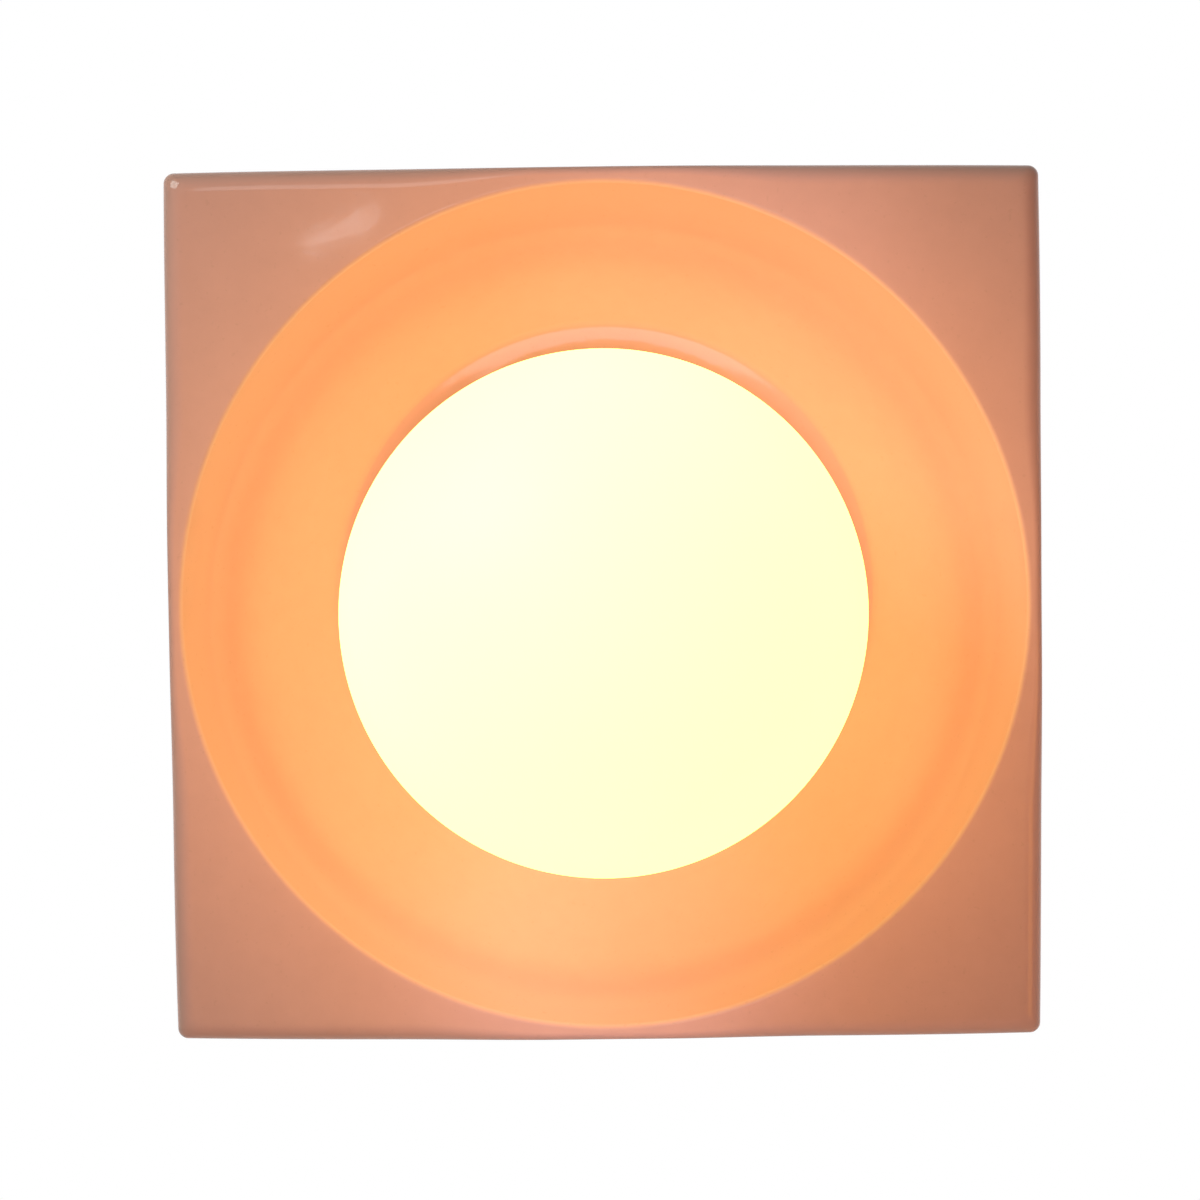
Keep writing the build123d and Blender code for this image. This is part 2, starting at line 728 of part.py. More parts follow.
with BuildPart() as lamp_cap:
    cap_foot_out = tip_out + button_h + insulator_rise
    with BuildSketch(Plane.XY):
        half_section(
            (cap_mouth_d / 2, cap_foot_out),
            (cap_d / 2, cap_foot_out + cap_shoulder_h),
            (cap_d / 2, cap_rim_out - cap_lip_h),
            (cap_lip_d / 2, cap_rim_out),
            (cap_lip_d / 2 - cap_t, cap_rim_out),
            (cap_d / 2 - cap_t, cap_rim_out - cap_lip_h),
            (cap_d / 2 - cap_t, cap_foot_out + cap_shoulder_h + cap_t),
            (cap_mouth_d / 2 - cap_t, cap_foot_out + cap_t),
        )
    revolve(axis=Axis.Y)

with BuildPart() as cap_insulator:
    insulator_out = tip_out + button_h
    insulator_waist_r = cap_mouth_d / 2 - cap_t - tip_gap
    insulator_disc_r = cap_d / 2 - cap_t - tip_gap
    insulator_disc_out = cap_foot_out + cap_shoulder_h + cap_t + tip_gap
    with BuildSketch(Plane.XY):
        half_section(
            (button_stem_r + screw_clear, insulator_out),
            (insulator_face_d / 2, insulator_out),
            (insulator_waist_r, cap_foot_out),
            (insulator_waist_r, cap_foot_out + cap_t + tip_gap),
            (insulator_disc_r, insulator_disc_out),
            (insulator_disc_r, insulator_disc_out + insulator_disc_t),
            (button_stem_r + screw_clear, insulator_disc_out + insulator_disc_t),
        )
    revolve(axis=Axis.Y)

with BuildPart() as cap_contact:
    with BuildSketch(Plane.XY):
        half_section(
            (0, tip_out),
            (button_face_d / 2, tip_out),
            (button_d / 2, insulator_out),
            (button_stem_r, insulator_out),
            (button_stem_r, insulator_disc_out),
            (0, insulator_disc_out),
        )
    revolve(axis=Axis.Y)

with BuildPart() as driver_board:
    board_out = insulator_disc_out + insulator_disc_t + tip_gap
    with BuildSketch(out(board_out)):
        Rectangle(2 * insulator_disc_r, driver_board_t)
    extrude(amount=driver_board_h)

with BuildPart() as lamp_stem:
    stem_foot_out = neck_end_out
    stem_flare_r = neck_tuck_d / 2 - glass_t - screw_clear
    stem_tip_out = globe_out - stem_behind
    with BuildSketch(Plane.XY):
        half_section(
            (0, stem_foot_out),
            (stem_flare_r, stem_foot_out),
            (stem_flare_r, stem_foot_out + stem_flare_h),
            (stem_d / 2, stem_foot_out + stem_flare_h + stem_taper_h),
            (stem_d / 2, stem_tip_out),
            (0, stem_tip_out),
        )
    revolve(axis=Axis.Y)
    fillet(lamp_stem.faces().sort_by(Axis.Y)[0].edges(), stem_tip_round)

# LED rods stand in a ring round a post on the stem, between two stars of wire
low_star_out = stem_tip_out + wire_d
high_star_out = low_star_out + wire_d + filament_length
with BuildPart() as led_filaments:
    with BuildSketch(out(low_star_out + wire_d)):
        with PolarLocations(filament_ring_d / 2, filament_count):
            Circle(filament_d / 2)
    extrude(amount=filament_length)

with BuildPart() as filament_wires:
    with BuildSketch(out(stem_tip_out)):
        Circle(wire_d)
    extrude(amount=high_star_out - stem_tip_out)
    for star_out in (low_star_out, high_star_out):
        with BuildSketch(out(star_out)):
            Circle(wire_d)
            for turn in range(filament_count):
                Rectangle(
                    (filament_ring_d + filament_d) / 2,
                    wire_d,
                    rotation=360 * turn / filament_count,
                    align=(Align.MIN, Align.CENTER),
                )
        extrude(amount=wire_d)

pieces = {
    "ceramic_body": ceramic_body,
    "wall_gasket": wall_gasket,
    "wall_plate": wall_plate,
    "cable_grommet": cable_grommet,
    "body_studs": body_studs,
    "floor_seal_washers": floor_seal_washers,
    "floor_washers": floor_washers,
    "sleeve_nuts": sleeve_nuts,
    "neck_seal": neck_seal,
    "holder_bracket": holder_bracket,
    "bracket_screws": bracket_screws,
    "holder_body": holder_body,
    "holder_screws": holder_screws,
    "screw_shell": screw_shell,
    "centre_contact": centre_contact,
    "holder_terminals": holder_terminals,
    "holder_terminal_screws": holder_terminal_screws,
    "terminal_block": terminal_block,
    "block_barrels": block_barrels,
    "block_screws": block_screws,
    "block_fixing_screw": block_fixing_screw,
    "earth_lug": earth_lug,
    "earth_screw": earth_screw,
    "live_lead": live_lead,
    "earth_lead": earth_lead,
    "neutral_lead": neutral_lead,
    "lamp_globe": lamp_globe,
    "lamp_stem": lamp_stem,
    "led_filaments": led_filaments,
    "filament_wires": filament_wires,
    "driver_board": driver_board,
    "lamp_cap": lamp_cap,
    "cap_insulator": cap_insulator,
    "cap_contact": cap_contact,
}

os.makedirs("parts", exist_ok=True)
for name, piece in pieces.items():
    piece.part.label = name
    export_step(piece.part, f"parts/{name}.step")
for name, route in (("live", live_route), ("earth", earth_route), ("neutral", neutral_route)):
    print(name, "lead bend radii:", [round(radius, 1) for radius in lead_path_radii(route)])
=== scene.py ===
"""Looks of a cube wall sconce: a glazed block with a dish, a lit opal globe, and the works behind them."""

import logging
from collections.abc import Sequence
from dataclasses import astuple, dataclass
from enum import Enum
from math import pi, radians, sqrt, tau
from typing import NamedTuple

import bmesh
import bpy
import numpy as np
from mathutils import Matrix, Vector


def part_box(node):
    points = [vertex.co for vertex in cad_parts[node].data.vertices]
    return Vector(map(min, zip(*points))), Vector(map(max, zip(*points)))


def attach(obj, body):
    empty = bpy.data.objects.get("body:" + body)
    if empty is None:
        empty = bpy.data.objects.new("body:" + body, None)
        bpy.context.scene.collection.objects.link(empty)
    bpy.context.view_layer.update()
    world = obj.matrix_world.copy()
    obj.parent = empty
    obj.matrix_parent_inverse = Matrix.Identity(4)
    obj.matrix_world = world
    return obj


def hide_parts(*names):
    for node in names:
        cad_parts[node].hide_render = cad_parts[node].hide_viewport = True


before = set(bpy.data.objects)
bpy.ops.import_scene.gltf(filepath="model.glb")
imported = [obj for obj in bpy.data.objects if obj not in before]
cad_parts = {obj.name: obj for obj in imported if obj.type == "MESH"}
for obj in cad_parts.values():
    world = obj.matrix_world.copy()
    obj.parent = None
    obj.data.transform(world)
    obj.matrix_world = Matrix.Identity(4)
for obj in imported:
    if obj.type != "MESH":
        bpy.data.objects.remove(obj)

MM = 0.001
MERGE_DISTANCE = 1e-6
SMOOTH_TURN = 35.0
THREAD_SMOOTH_TURN = 50.0
LAMP_PITCH = 3.629 * MM
BOTH_SIDES = (-1, 1)
WHITE = (1.0, 1.0, 1.0)
BLACK = (0.0, 0.0, 0.0)
FIXTURE = "fixture"
LAMP = "lamp"

Rgb = tuple[float, float, float]
Point = tuple[float, float, float]
Pair = tuple[float, float]
Rows = np.ndarray | float
Socket = bpy.types.NodeSocket

log = logging.getLogger("sconce")


class Wrap(Enum):
    """How a grid of points closes on itself."""

    AROUND = "the last column meets the first"
    RING = "the last column meets the first, and the last row meets the first"


class Recess(Enum):
    """What the driver fits in a screw's head."""

    SLOT = "one straight slot"
    CROSS = "two crossed slots"


class Facing(Enum):
    """The way a screw's head looks, as a unit vector."""

    ROOM = (0.0, -1.0, 0.0)
    WALL = (0.0, 1.0, 0.0)
    UP = (0.0, 0.0, 1.0)
    DOWN = (0.0, 0.0, -1.0)


# Surfaces


class Extent(NamedTuple):
    """Half the width of a node of the frame, and its farthest and nearest distance from the wall."""

    half: float
    front: float
    rear: float

    @classmethod
    def of(cls, node: str) -> "Extent":
        """Extent of a node at rest."""
        low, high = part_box(node)
        return cls((high.x - low.x) / 2, -low.y, -high.y)


def stand(name: str, data: bpy.types.ID) -> bpy.types.Object:
    """Puts a mesh, curve, light or camera into the scene.

    Args:
        name: Name of the object.
        data: What the object shows.

    Returns:
        The new object.
    """
    thing = bpy.data.objects.new(name, data)
    bpy.context.scene.collection.objects.link(thing)
    return thing


def grid_faces(rows: int, columns: int, wrap: Wrap) -> np.ndarray:
    """Quads of a grid, each from a point, its next column, its next row and both.

    Args:
        rows: Number of rows of points.
        columns: Number of points in a row.
        wrap: How the grid closes on itself.

    Returns:
        Array of four point numbers for each face.
    """
    row = np.arange(rows if wrap is Wrap.RING else rows - 1)[:, None]
    column = np.arange(columns)
    here = row * columns
    below = (row + 1) % rows * columns
    after = (column + 1) % columns
    corners = (here + column, here + after, below + after, below + column)
    return np.stack(corners, axis=-1).reshape(-1, 4)


def surface(
    name: str,
    grids: Sequence[np.ndarray],
    wrap: Wrap,
    smooth_turn: float = SMOOTH_TURN,
    attributes: dict[str, np.ndarray] | None = None,
) -> bpy.types.Object:
    """Mesh object from one or more grids of points, with seams and poles merged and faces turned outwards.

    Args:
        name: Name of the object.
        grids: Arrays of rows, columns and coordinates, in metres.
        wrap: How every grid closes on itself.
        smooth_turn: Edges that turn by more degrees than this stay crisp.
        attributes: Values to keep on the points, in the order of the grids' points.

    Returns:
        The new object.
    """
    points = np.concatenate([grid.reshape(-1, 3) for grid in grids])
    starts = np.cumsum([0] + [grid.shape[0] * grid.shape[1] for grid in grids])
    faces = [grid_faces(*grid.shape[:2], wrap) + start for grid, start in zip(grids, starts)]
    mesh = bpy.data.meshes.new(name)
    mesh.from_pydata(points, [], np.concatenate(faces), shade_flat=False)
    for label, values in (attributes or {}).items():
        layer = mesh.attributes.new(label, "FLOAT", "POINT")
        layer.data.foreach_set("value", values.astype(np.float32).ravel())
    shell = bmesh.new()
    shell.from_mesh(mesh)
    bmesh.ops.remove_doubles(shell, verts=shell.verts, dist=MERGE_DISTANCE)
    bmesh.ops.recalc_face_normals(shell, faces=shell.faces)
    shell.to_mesh(mesh)
    shell.free()
    mesh.set_sharp_from_angle(angle=radians(smooth_turn))
    return stand(name, mesh)


def unit(vectors: np.ndarray) -> np.ndarray:
    """Vectors of length 1 in the same directions."""
    return vectors / np.linalg.norm(vectors, axis=-1, keepdims=True)


def between(first: Rows, last: Rows, count: int) -> np.ndarray:
    """Rows that go from a first to a last value in even steps."""
    return first + np.linspace(0, 1, count)[:, None] * (last - first)


def fade(value: np.ndarray, low: float, high: float) -> np.ndarray:
    """Smooth step: 0 below low, 1 above high, with a slope of 0 at both."""
    share = np.clip((value - low) / (high - low), 0, 1)
    return share * share * (3 - 2 * share)


def circle(count: int) -> np.ndarray:
    """Angles of evenly spaced columns round an axis."""
    return np.linspace(0, tau, count, endpoint=False)


def arc(centre: tuple[Rows, Rows], across: Rows, along: Rows, turn: np.ndarray) -> tuple[Rows, Rows]:
    """Radius and out of an arc: its centre, plus across times the sine, less along times the cosine."""
    return centre[0] + across * np.sin(turn), centre[1] - along * np.cos(turn)


def rounded(corners: Sequence[Point], steps: int = 6) -> np.ndarray:
    """Closed outline whose corners are arcs tangent to both sides.

    The arc's centre lies on the corner's bisector, at the radius over the sine of half the corner's angle,
    and its points are the two tangent points turned into each other.

    Args:
        corners: Triples of across, along and the corner's radius.
        steps: Points on each arc.

    Returns:
        Array of pairs of across and along.
    """
    table = np.array(corners, float)
    corner = table[:, None, :2]
    radius = table[:, None, 2:]
    back = unit(np.roll(corner, 1, axis=0) - corner)
    ahead = unit(np.roll(corner, -1, axis=0) - corner)
    half = np.arccos(np.clip((back * ahead).sum(-1, keepdims=True), -1, 1)) / 2
    centre = corner + unit(back + ahead) * radius / np.sin(half)
    first = corner + back * radius / np.tan(half) - centre
    last = corner + ahead * radius / np.tan(half) - centre
    sweep = pi - 2 * half
    share = np.linspace(0, 1, steps)[None, :, None]
    bend = (np.sin((1 - share) * sweep) * first + np.sin(share * sweep) * last) / np.sin(sweep)
    return (centre + bend).reshape(-1, 2)


def around(radius: np.ndarray, out: np.ndarray, angle: np.ndarray, centre: Pair = (0.0, 0.0)) -> np.ndarray:
    """Points at a radius and an angle round an axis that runs out from the wall.

    Args:
        radius: Radius of each row, or of each row and column.
        out: Distance from the wall of each row.
        angle: Angle of each column.
        centre: The axis's place, across and up.

    Returns:
        Grid of points.
    """
    across = centre[0] + radius * np.cos(angle)
    up = centre[1] + radius * np.sin(angle)
    return np.stack([across, np.broadcast_to(-out, across.shape), up], axis=-1)


def turned(profile: np.ndarray, columns: int, centre: Pair = (0.0, 0.0)) -> np.ndarray:
    """Grid of a turned shape: each pair of radius and out in its profile becomes a circle."""
    return around(profile[:, :1], profile[:, 1:], circle(columns), centre)


def facing(grid: np.ndarray, way: Facing, seat: Point) -> np.ndarray:
    """Turns a shape that looks to the room to look another way, and puts its zero on a seat."""
    turn = Vector(Facing.ROOM.value).rotation_difference(Vector(way.value)).to_matrix()
    return grid @ np.array(turn).T + np.array(seat)


@dataclass(frozen=True)
class Thread:
    """Right-hand thread that runs in at its wall end and runs out at its room end.

    Attributes:
        pitch: Advance for one turn.
        depth: Depth of the groove.
        begins: Distances from the wall between which it runs in.
        ends: Distances from the wall between which it runs out.
    """

    pitch: float
    depth: float
    begins: Pair
    ends: Pair

    def groove(self, out: np.ndarray, angle: np.ndarray) -> np.ndarray:
        """Depth below the crest: a cosine wave that climbs one pitch towards the room for each turn.

        Args:
            out: Distance from the wall of each row.
            angle: Angle of each column.

        Returns:
            Depth for each row and column.
        """
        wave = 0.5 - 0.5 * np.cos(angle - tau * out / self.pitch)
        return self.depth * fade(out, *self.begins) * (1 - fade(out, *self.ends)) * wave


@dataclass(frozen=True)
class Sphere:
    """Sphere on the lamp's axis.

    Attributes:
        radius: Its radius.
        centre: Distance of its centre from the wall.
    """

    radius: float
    centre: float

    def grown(self, distance: float) -> "Sphere":
        """Sphere that lies outside this one by a distance."""
        return Sphere(self.radius + distance, self.centre)

    def ring(self, out: float) -> float:
        """Radius of its circle at a distance from the wall."""
        return sqrt(self.radius**2 - (self.centre - out) ** 2)

    def turn(self, out: float) -> float:
        """Angle from its rear pole to that circle."""
        return np.arccos((self.centre - out) / self.radius)

    def arc(self, turn: np.ndarray) -> tuple[Rows, Rows]:
        """Radius and out of its points at angles from its rear pole."""
        return arc((0.0, self.centre), self.radius, self.radius, turn)


# Finishes


class Sheet:
    """Node tree with short calls to add and join its nodes."""

    def __init__(self, tree: bpy.types.NodeTree) -> None:
        """Starts on a tree of a material, a world or a node group, and empties it."""
        self.tree = tree
        self.tree.nodes.clear()

    def add(
        self, kind: str, values: dict[str | int, object] | None = None, **settings: object
    ) -> bpy.types.Node:
        """Adds a node.

        Args:
            kind: Name of the node's type.
            values: Constants, or sockets to join, by the input's name or number.
            settings: The node's own properties.

        Returns:
            The new node.
        """
        node = self.tree.nodes.new(kind)
        for label, setting in settings.items():
            setattr(node, label, setting)
        for label, value in (values or {}).items():
            if isinstance(value, Socket):
                self.tree.links.new(value, node.inputs[label])
            else:
                node.inputs[label].default_value = value
        return node

    def place(self) -> Socket:
        """Coordinates of the object."""
        return self.add("ShaderNodeTexCoord").outputs["Object"]

    def kept(self, label: str) -> Socket:
        """Value that the mesh keeps on its points."""
        return self.add("ShaderNodeAttribute", attribute_name=label).outputs["Fac"]

    def math(self, operation: str, first: object, second: object) -> Socket:
        """Result of an operation on two values or sockets."""
        return self.add("ShaderNodeMath", {0: first, 1: second}, operation=operation).outputs[0]

    def plus(self, first: object, second: object) -> Socket:
        """Sum of two values or sockets."""
        return self.math("ADD", first, second)

    def times(self, first: object, second: object) -> Socket:
        """Product of two values or sockets."""
        return self.math("MULTIPLY", first, second)

    def scaled(self, vector: object, factor: object) -> Socket:
        """Vector or colour times a factor, axis by axis."""
        return self.add("ShaderNodeVectorMath", {0: vector, 1: factor}, operation="MULTIPLY").outputs[0]

    def mix(self, share: object, first: object, second: object) -> Socket:
        """Colour between two colours, by the share of the second."""
        return self.add("ShaderNodeMix", {0: share, 6: first, 7: second}, data_type="RGBA").outputs[2]

    def noise(self, vector: Socket, scale: object, detail: float) -> Socket:
        """Noise from 0 to 1, at a number of waves per metre and of octaves."""
        values = {"Vector": vector, "Scale": scale, "Detail": detail}
        return self.add("ShaderNodeTexNoise", values).outputs["Fac"]

    def spread(self, value: Socket, span: Sequence[object]) -> Socket:
        """Carries a value from one range over to another: from low, from high, to low and to high."""
        return self.add("ShaderNodeMapRange", dict(enumerate((value, *span)))).outputs[0]


def rgba(color: Rgb) -> tuple[float, float, float, float]:
    """Colour with full alpha."""
    return (*color, 1.0)


class Variation:
    """Node group that lets a finish vary over its surface: cloudy tone, uneven gloss and small relief."""

    NAME = "surface_variation"
    INPUTS = {
        "Color": "NodeSocketColor",
        "Scale": "NodeSocketFloat",
        "Stretch": "NodeSocketVector",
        "Tone": "NodeSocketFloat",
        "Roughness": "NodeSocketFloat",
        "Unevenness": "NodeSocketFloat",
    }
    OUTPUTS = {"Color": "NodeSocketColor", "Roughness": "NodeSocketFloat", "Height": "NodeSocketFloat"}
    CLOUD_DETAIL = 4.0
    CLOUD_SHARE = 0.65
    GRAIN_DETAIL = 3.0
    GRAIN_FINENESS = 9.0

    @classmethod
    def tree(cls) -> bpy.types.NodeTree:
        """The group, built once.

        Clouds and a finer grain add up to a height. Its swing about one half moves the tone and the gloss.

        Returns:
            Its node tree.
        """
        if cls.NAME in bpy.data.node_groups:
            return bpy.data.node_groups[cls.NAME]
        tree = bpy.data.node_groups.new(cls.NAME, "ShaderNodeTree")
        for way, sockets in (("INPUT", cls.INPUTS), ("OUTPUT", cls.OUTPUTS)):
            for label, kind in sockets.items():
                tree.interface.new_socket(label, in_out=way, socket_type=kind)
        sheet = Sheet(tree)
        given = sheet.add("NodeGroupInput").outputs
        place = sheet.scaled(sheet.place(), given["Stretch"])
        clouds = sheet.noise(place, given["Scale"], cls.CLOUD_DETAIL)
        grain = sheet.noise(place, sheet.times(given["Scale"], cls.GRAIN_FINENESS), cls.GRAIN_DETAIL)
        height = sheet.plus(sheet.times(clouds, cls.CLOUD_SHARE), sheet.times(grain, 1 - cls.CLOUD_SHARE))
        swing = sheet.times(sheet.math("SUBTRACT", height, 0.5), 2.0)
        tone = sheet.plus(1.0, sheet.times(swing, given["Tone"]))
        gloss = sheet.plus(given["Roughness"], sheet.times(swing, given["Unevenness"]))
        color = sheet.scaled(given["Color"], tone)
        sheet.add("NodeGroupOutput", {"Color": color, "Roughness": gloss, "Height": height})
        return tree


@dataclass(frozen=True)
class Finish:
    """Plain finish of a surface, with its colour as linear light.

    Attributes:
        name: Its name, which its material's name starts with.
        color: Colour of the surface.
        roughness: From mirror, 0, to matt, 1.
        metallic: 1 for bare metal.
        scale: Clouds per metre in its variation.
        stretch: How much finer its grain is along each axis.
        tone: How far its colour swings about the mean.
        unevenness: How far its roughness swings.
        relief: Height of its small relief.
    """

    name: str
    color: Rgb
    roughness: float
    metallic: float = 0.0
    scale: float = 60.0
    stretch: Point = (1.0, 1.0, 1.0)
    tone: float = 0.15
    unevenness: float = 0.08
    relief: float = 0.02 * MM

    def material(self) -> bpy.types.Material:
        """The material, built once, under a name that no material of the frame has.

        Returns:
            The material.
        """
        label = f"{self.name}_finish"
        if label in bpy.data.materials:
            return bpy.data.materials[label]
        material = bpy.data.materials.new(label)
        material.use_nodes = True
        sheet = Sheet(material.node_tree)
        shader = sheet.add("ShaderNodeBsdfPrincipled", {"Metallic": self.metallic, **self.inputs(sheet)})
        sheet.add("ShaderNodeOutputMaterial", {"Surface": shader.outputs[0]})
        return material

    def varied(self, sheet: Sheet) -> bpy.types.Node:
        """The variation group with this finish's values.

        Args:
            sheet: Tree of the material.

        Returns:
            The group's node.
        """
        values = {
            "Color": rgba(self.color),
            "Scale": self.scale,
            "Stretch": self.stretch,
            "Tone": self.tone,
            "Roughness": self.roughness,
            "Unevenness": self.unevenness,
        }
        return sheet.add("ShaderNodeGroup", values, node_tree=Variation.tree())

    def raised(self, sheet: Sheet, height: Socket) -> Socket:
        """Normal of the finish's small relief, from a height between 0 and 1."""
        return sheet.add("ShaderNodeBump", {"Distance": self.relief, "Height": height}).outputs[0]

    def inputs(self, sheet: Sheet) -> dict[str, object]:
        """What the shader takes: the varied colour, gloss and relief.

        Args:
            sheet: Tree of the material.

        Returns:
            Constants and sockets by the shader's input.
        """
        varied = self.varied(sheet).outputs
        normal = self.raised(sheet, varied["Height"])
        return {"Base Color": varied["Color"], "Roughness": varied["Roughness"], "Normal": normal}


@dataclass(frozen=True)
class Glaze(Finish):
    """Glossy glaze over clay: it thins over edges, where it is also painted darker as shade, has a painted
    glow at the dish's rim and leaves the hollow back bare.

    Attributes:
        thin_and_shaded_color: Colour where the glaze draws back from an edge, darker than the glaze as
            painted shade; the specks take it too.
        thin_and_shade_span: Range of the relief's height, and the share of that colour at its ends.
        painted_rim_glow_color: Colour at the rim, a painted glow of the light that comes through the clay.
        clay_color: Colour of the bare clay.
        clay_roughness: Roughness of the bare clay.
        speck_scale: Specks per metre.
        speck_detail: Octaves of the specks' noise.
        speck_span: Range of that noise, and the share of the darker edge colour at its ends.
        ior: Index of refraction of the glaze.
    """

    thin_and_shaded_color: Rgb = (0.48, 0.25, 0.18)
    thin_and_shade_span: tuple[float, ...] = (0.3, 0.7, 0.75, 1.0)
    painted_rim_glow_color: Rgb = (0.66, 0.355, 0.28)
    clay_color: Rgb = (0.60, 0.40, 0.29)
    clay_roughness: float = 0.85
    speck_scale: float = 900.0
    speck_detail: float = 2.0
    speck_span: tuple[float, ...] = (0.66, 0.74, 0.0, 0.22)
    ior: float = 1.38

    def inputs(self, sheet: Sheet) -> dict[str, object]:
        """Glaze thinned and painted darker as shade on the edges, a painted glow at the rim and bare clay
        behind, as the block's points say.

        Args:
            sheet: Tree of the material.

        Returns:
            Constants and sockets by the shader's input.
        """
        thin_and_shade, lit, bare = map(sheet.kept, (CeramicBlock.THIN_AND_SHADED, CeramicBlock.LIT, CeramicBlock.BARE))
        varied = self.varied(sheet).outputs
        specks = sheet.noise(sheet.place(), self.speck_scale, self.speck_detail)
        # Brighter colour towards the rim: a painted glow
        glowing = sheet.mix(lit, varied["Color"], rgba(self.painted_rim_glow_color))
        spotted = sheet.mix(sheet.spread(specks, self.speck_span), glowing, rgba(self.thin_and_shaded_color))
        # Share of the darker edge colour: thinned glaze, and painted shade
        thin_and_shade_share = sheet.times(thin_and_shade, sheet.spread(varied["Height"], self.thin_and_shade_span))
        glazed = sheet.mix(thin_and_shade_share, spotted, rgba(self.thin_and_shaded_color))
        return {
            "Base Color": sheet.mix(bare, glazed, rgba(self.clay_color)),
            "Roughness": sheet.spread(bare, (0.0, 1.0, varied["Roughness"], self.clay_roughness)),
            "Normal": self.raised(sheet, varied["Height"]),
            "IOR": self.ior,
        }


@dataclass(frozen=True)
class LitOpal(Finish):
    """Opal glass with the light behind it, which does not reach the neck.

    Attributes:
        glow: Colour of the light at its cooler, paler upper left, as painted light falling from that side.
        warm_glow: Colour of the light, at its warmer side.
        warm_reach: Distance across plus distance down from the middle at which it is as warm as that.
        strength: How much brighter than white the glass is.
        neck_color: Colour of the unlit neck.
        lit_out: Distance from the wall beyond which the glass is fully lit.
        dark_out: Distance from the wall below which it is dark.
    """

    glow: Rgb = (1.0, 0.80, 0.29)
    warm_glow: Rgb = (1.0, 0.77, 0.225)
    warm_reach: float = 60 * MM
    strength: float = 2.4
    neck_color: Rgb = (0.76, 0.72, 0.62)
    lit_out: float = 170 * MM
    dark_out: float = 163 * MM

    def inputs(self, sheet: Sheet) -> dict[str, object]:
        """Lights the globe, a little warmer towards its lower right, and paler towards its upper left as
        painted light from there.

        Args:
            sheet: Tree of the material.

        Returns:
            Constants and sockets by the shader's input.
        """
        plain = super().inputs(sheet)
        axes = sheet.add("ShaderNodeSeparateXYZ", {0: sheet.place()}).outputs
        slant = sheet.math("SUBTRACT", axes["X"], axes["Z"])
        warm = sheet.spread(slant, (-self.warm_reach, self.warm_reach, 0.0, 1.0))
        # The paler upper left is painted light from that side
        light = sheet.mix(warm, rgba(self.glow), rgba(self.warm_glow))
        dark = sheet.spread(axes["Y"], (-self.lit_out, -self.dark_out, 0.0, 1.0))
        return plain | {
            "Base Color": sheet.mix(dark, plain["Base Color"], rgba(self.neck_color)),
            "Emission Color": sheet.mix(dark, light, rgba(BLACK)),
            "Emission Strength": self.strength,
        }


@dataclass(frozen=True)
class ClearGlass(Finish):
    """Clear glass."""

    def inputs(self, sheet: Sheet) -> dict[str, object]:
        """Lets light through."""
        return super().inputs(sheet) | {"Transmission Weight": 1.0}


@dataclass(frozen=True)
class Striped(Finish):
    """Insulation with a stripe of a second colour along it.

    Attributes:
        stripe_color: Colour of the stripe.
        stripe_share: Share of the way round that it takes.
    """

    stripe_color: Rgb = (0.75, 0.55, 0.02)
    stripe_share: float = 0.4

    def inputs(self, sheet: Sheet) -> dict[str, object]:
        """Paints the stripe by how far round the lead a point lies.

        Args:
            sheet: Tree of the material.

        Returns:
            Constants and sockets by the shader's input.
        """
        plain = super().inputs(sheet)
        stripe = sheet.math("LESS_THAN", sheet.kept(Lead.ROUND), self.stripe_share)
        return plain | {"Base Color": sheet.mix(stripe, plain["Base Color"], rgba(self.stripe_color))}


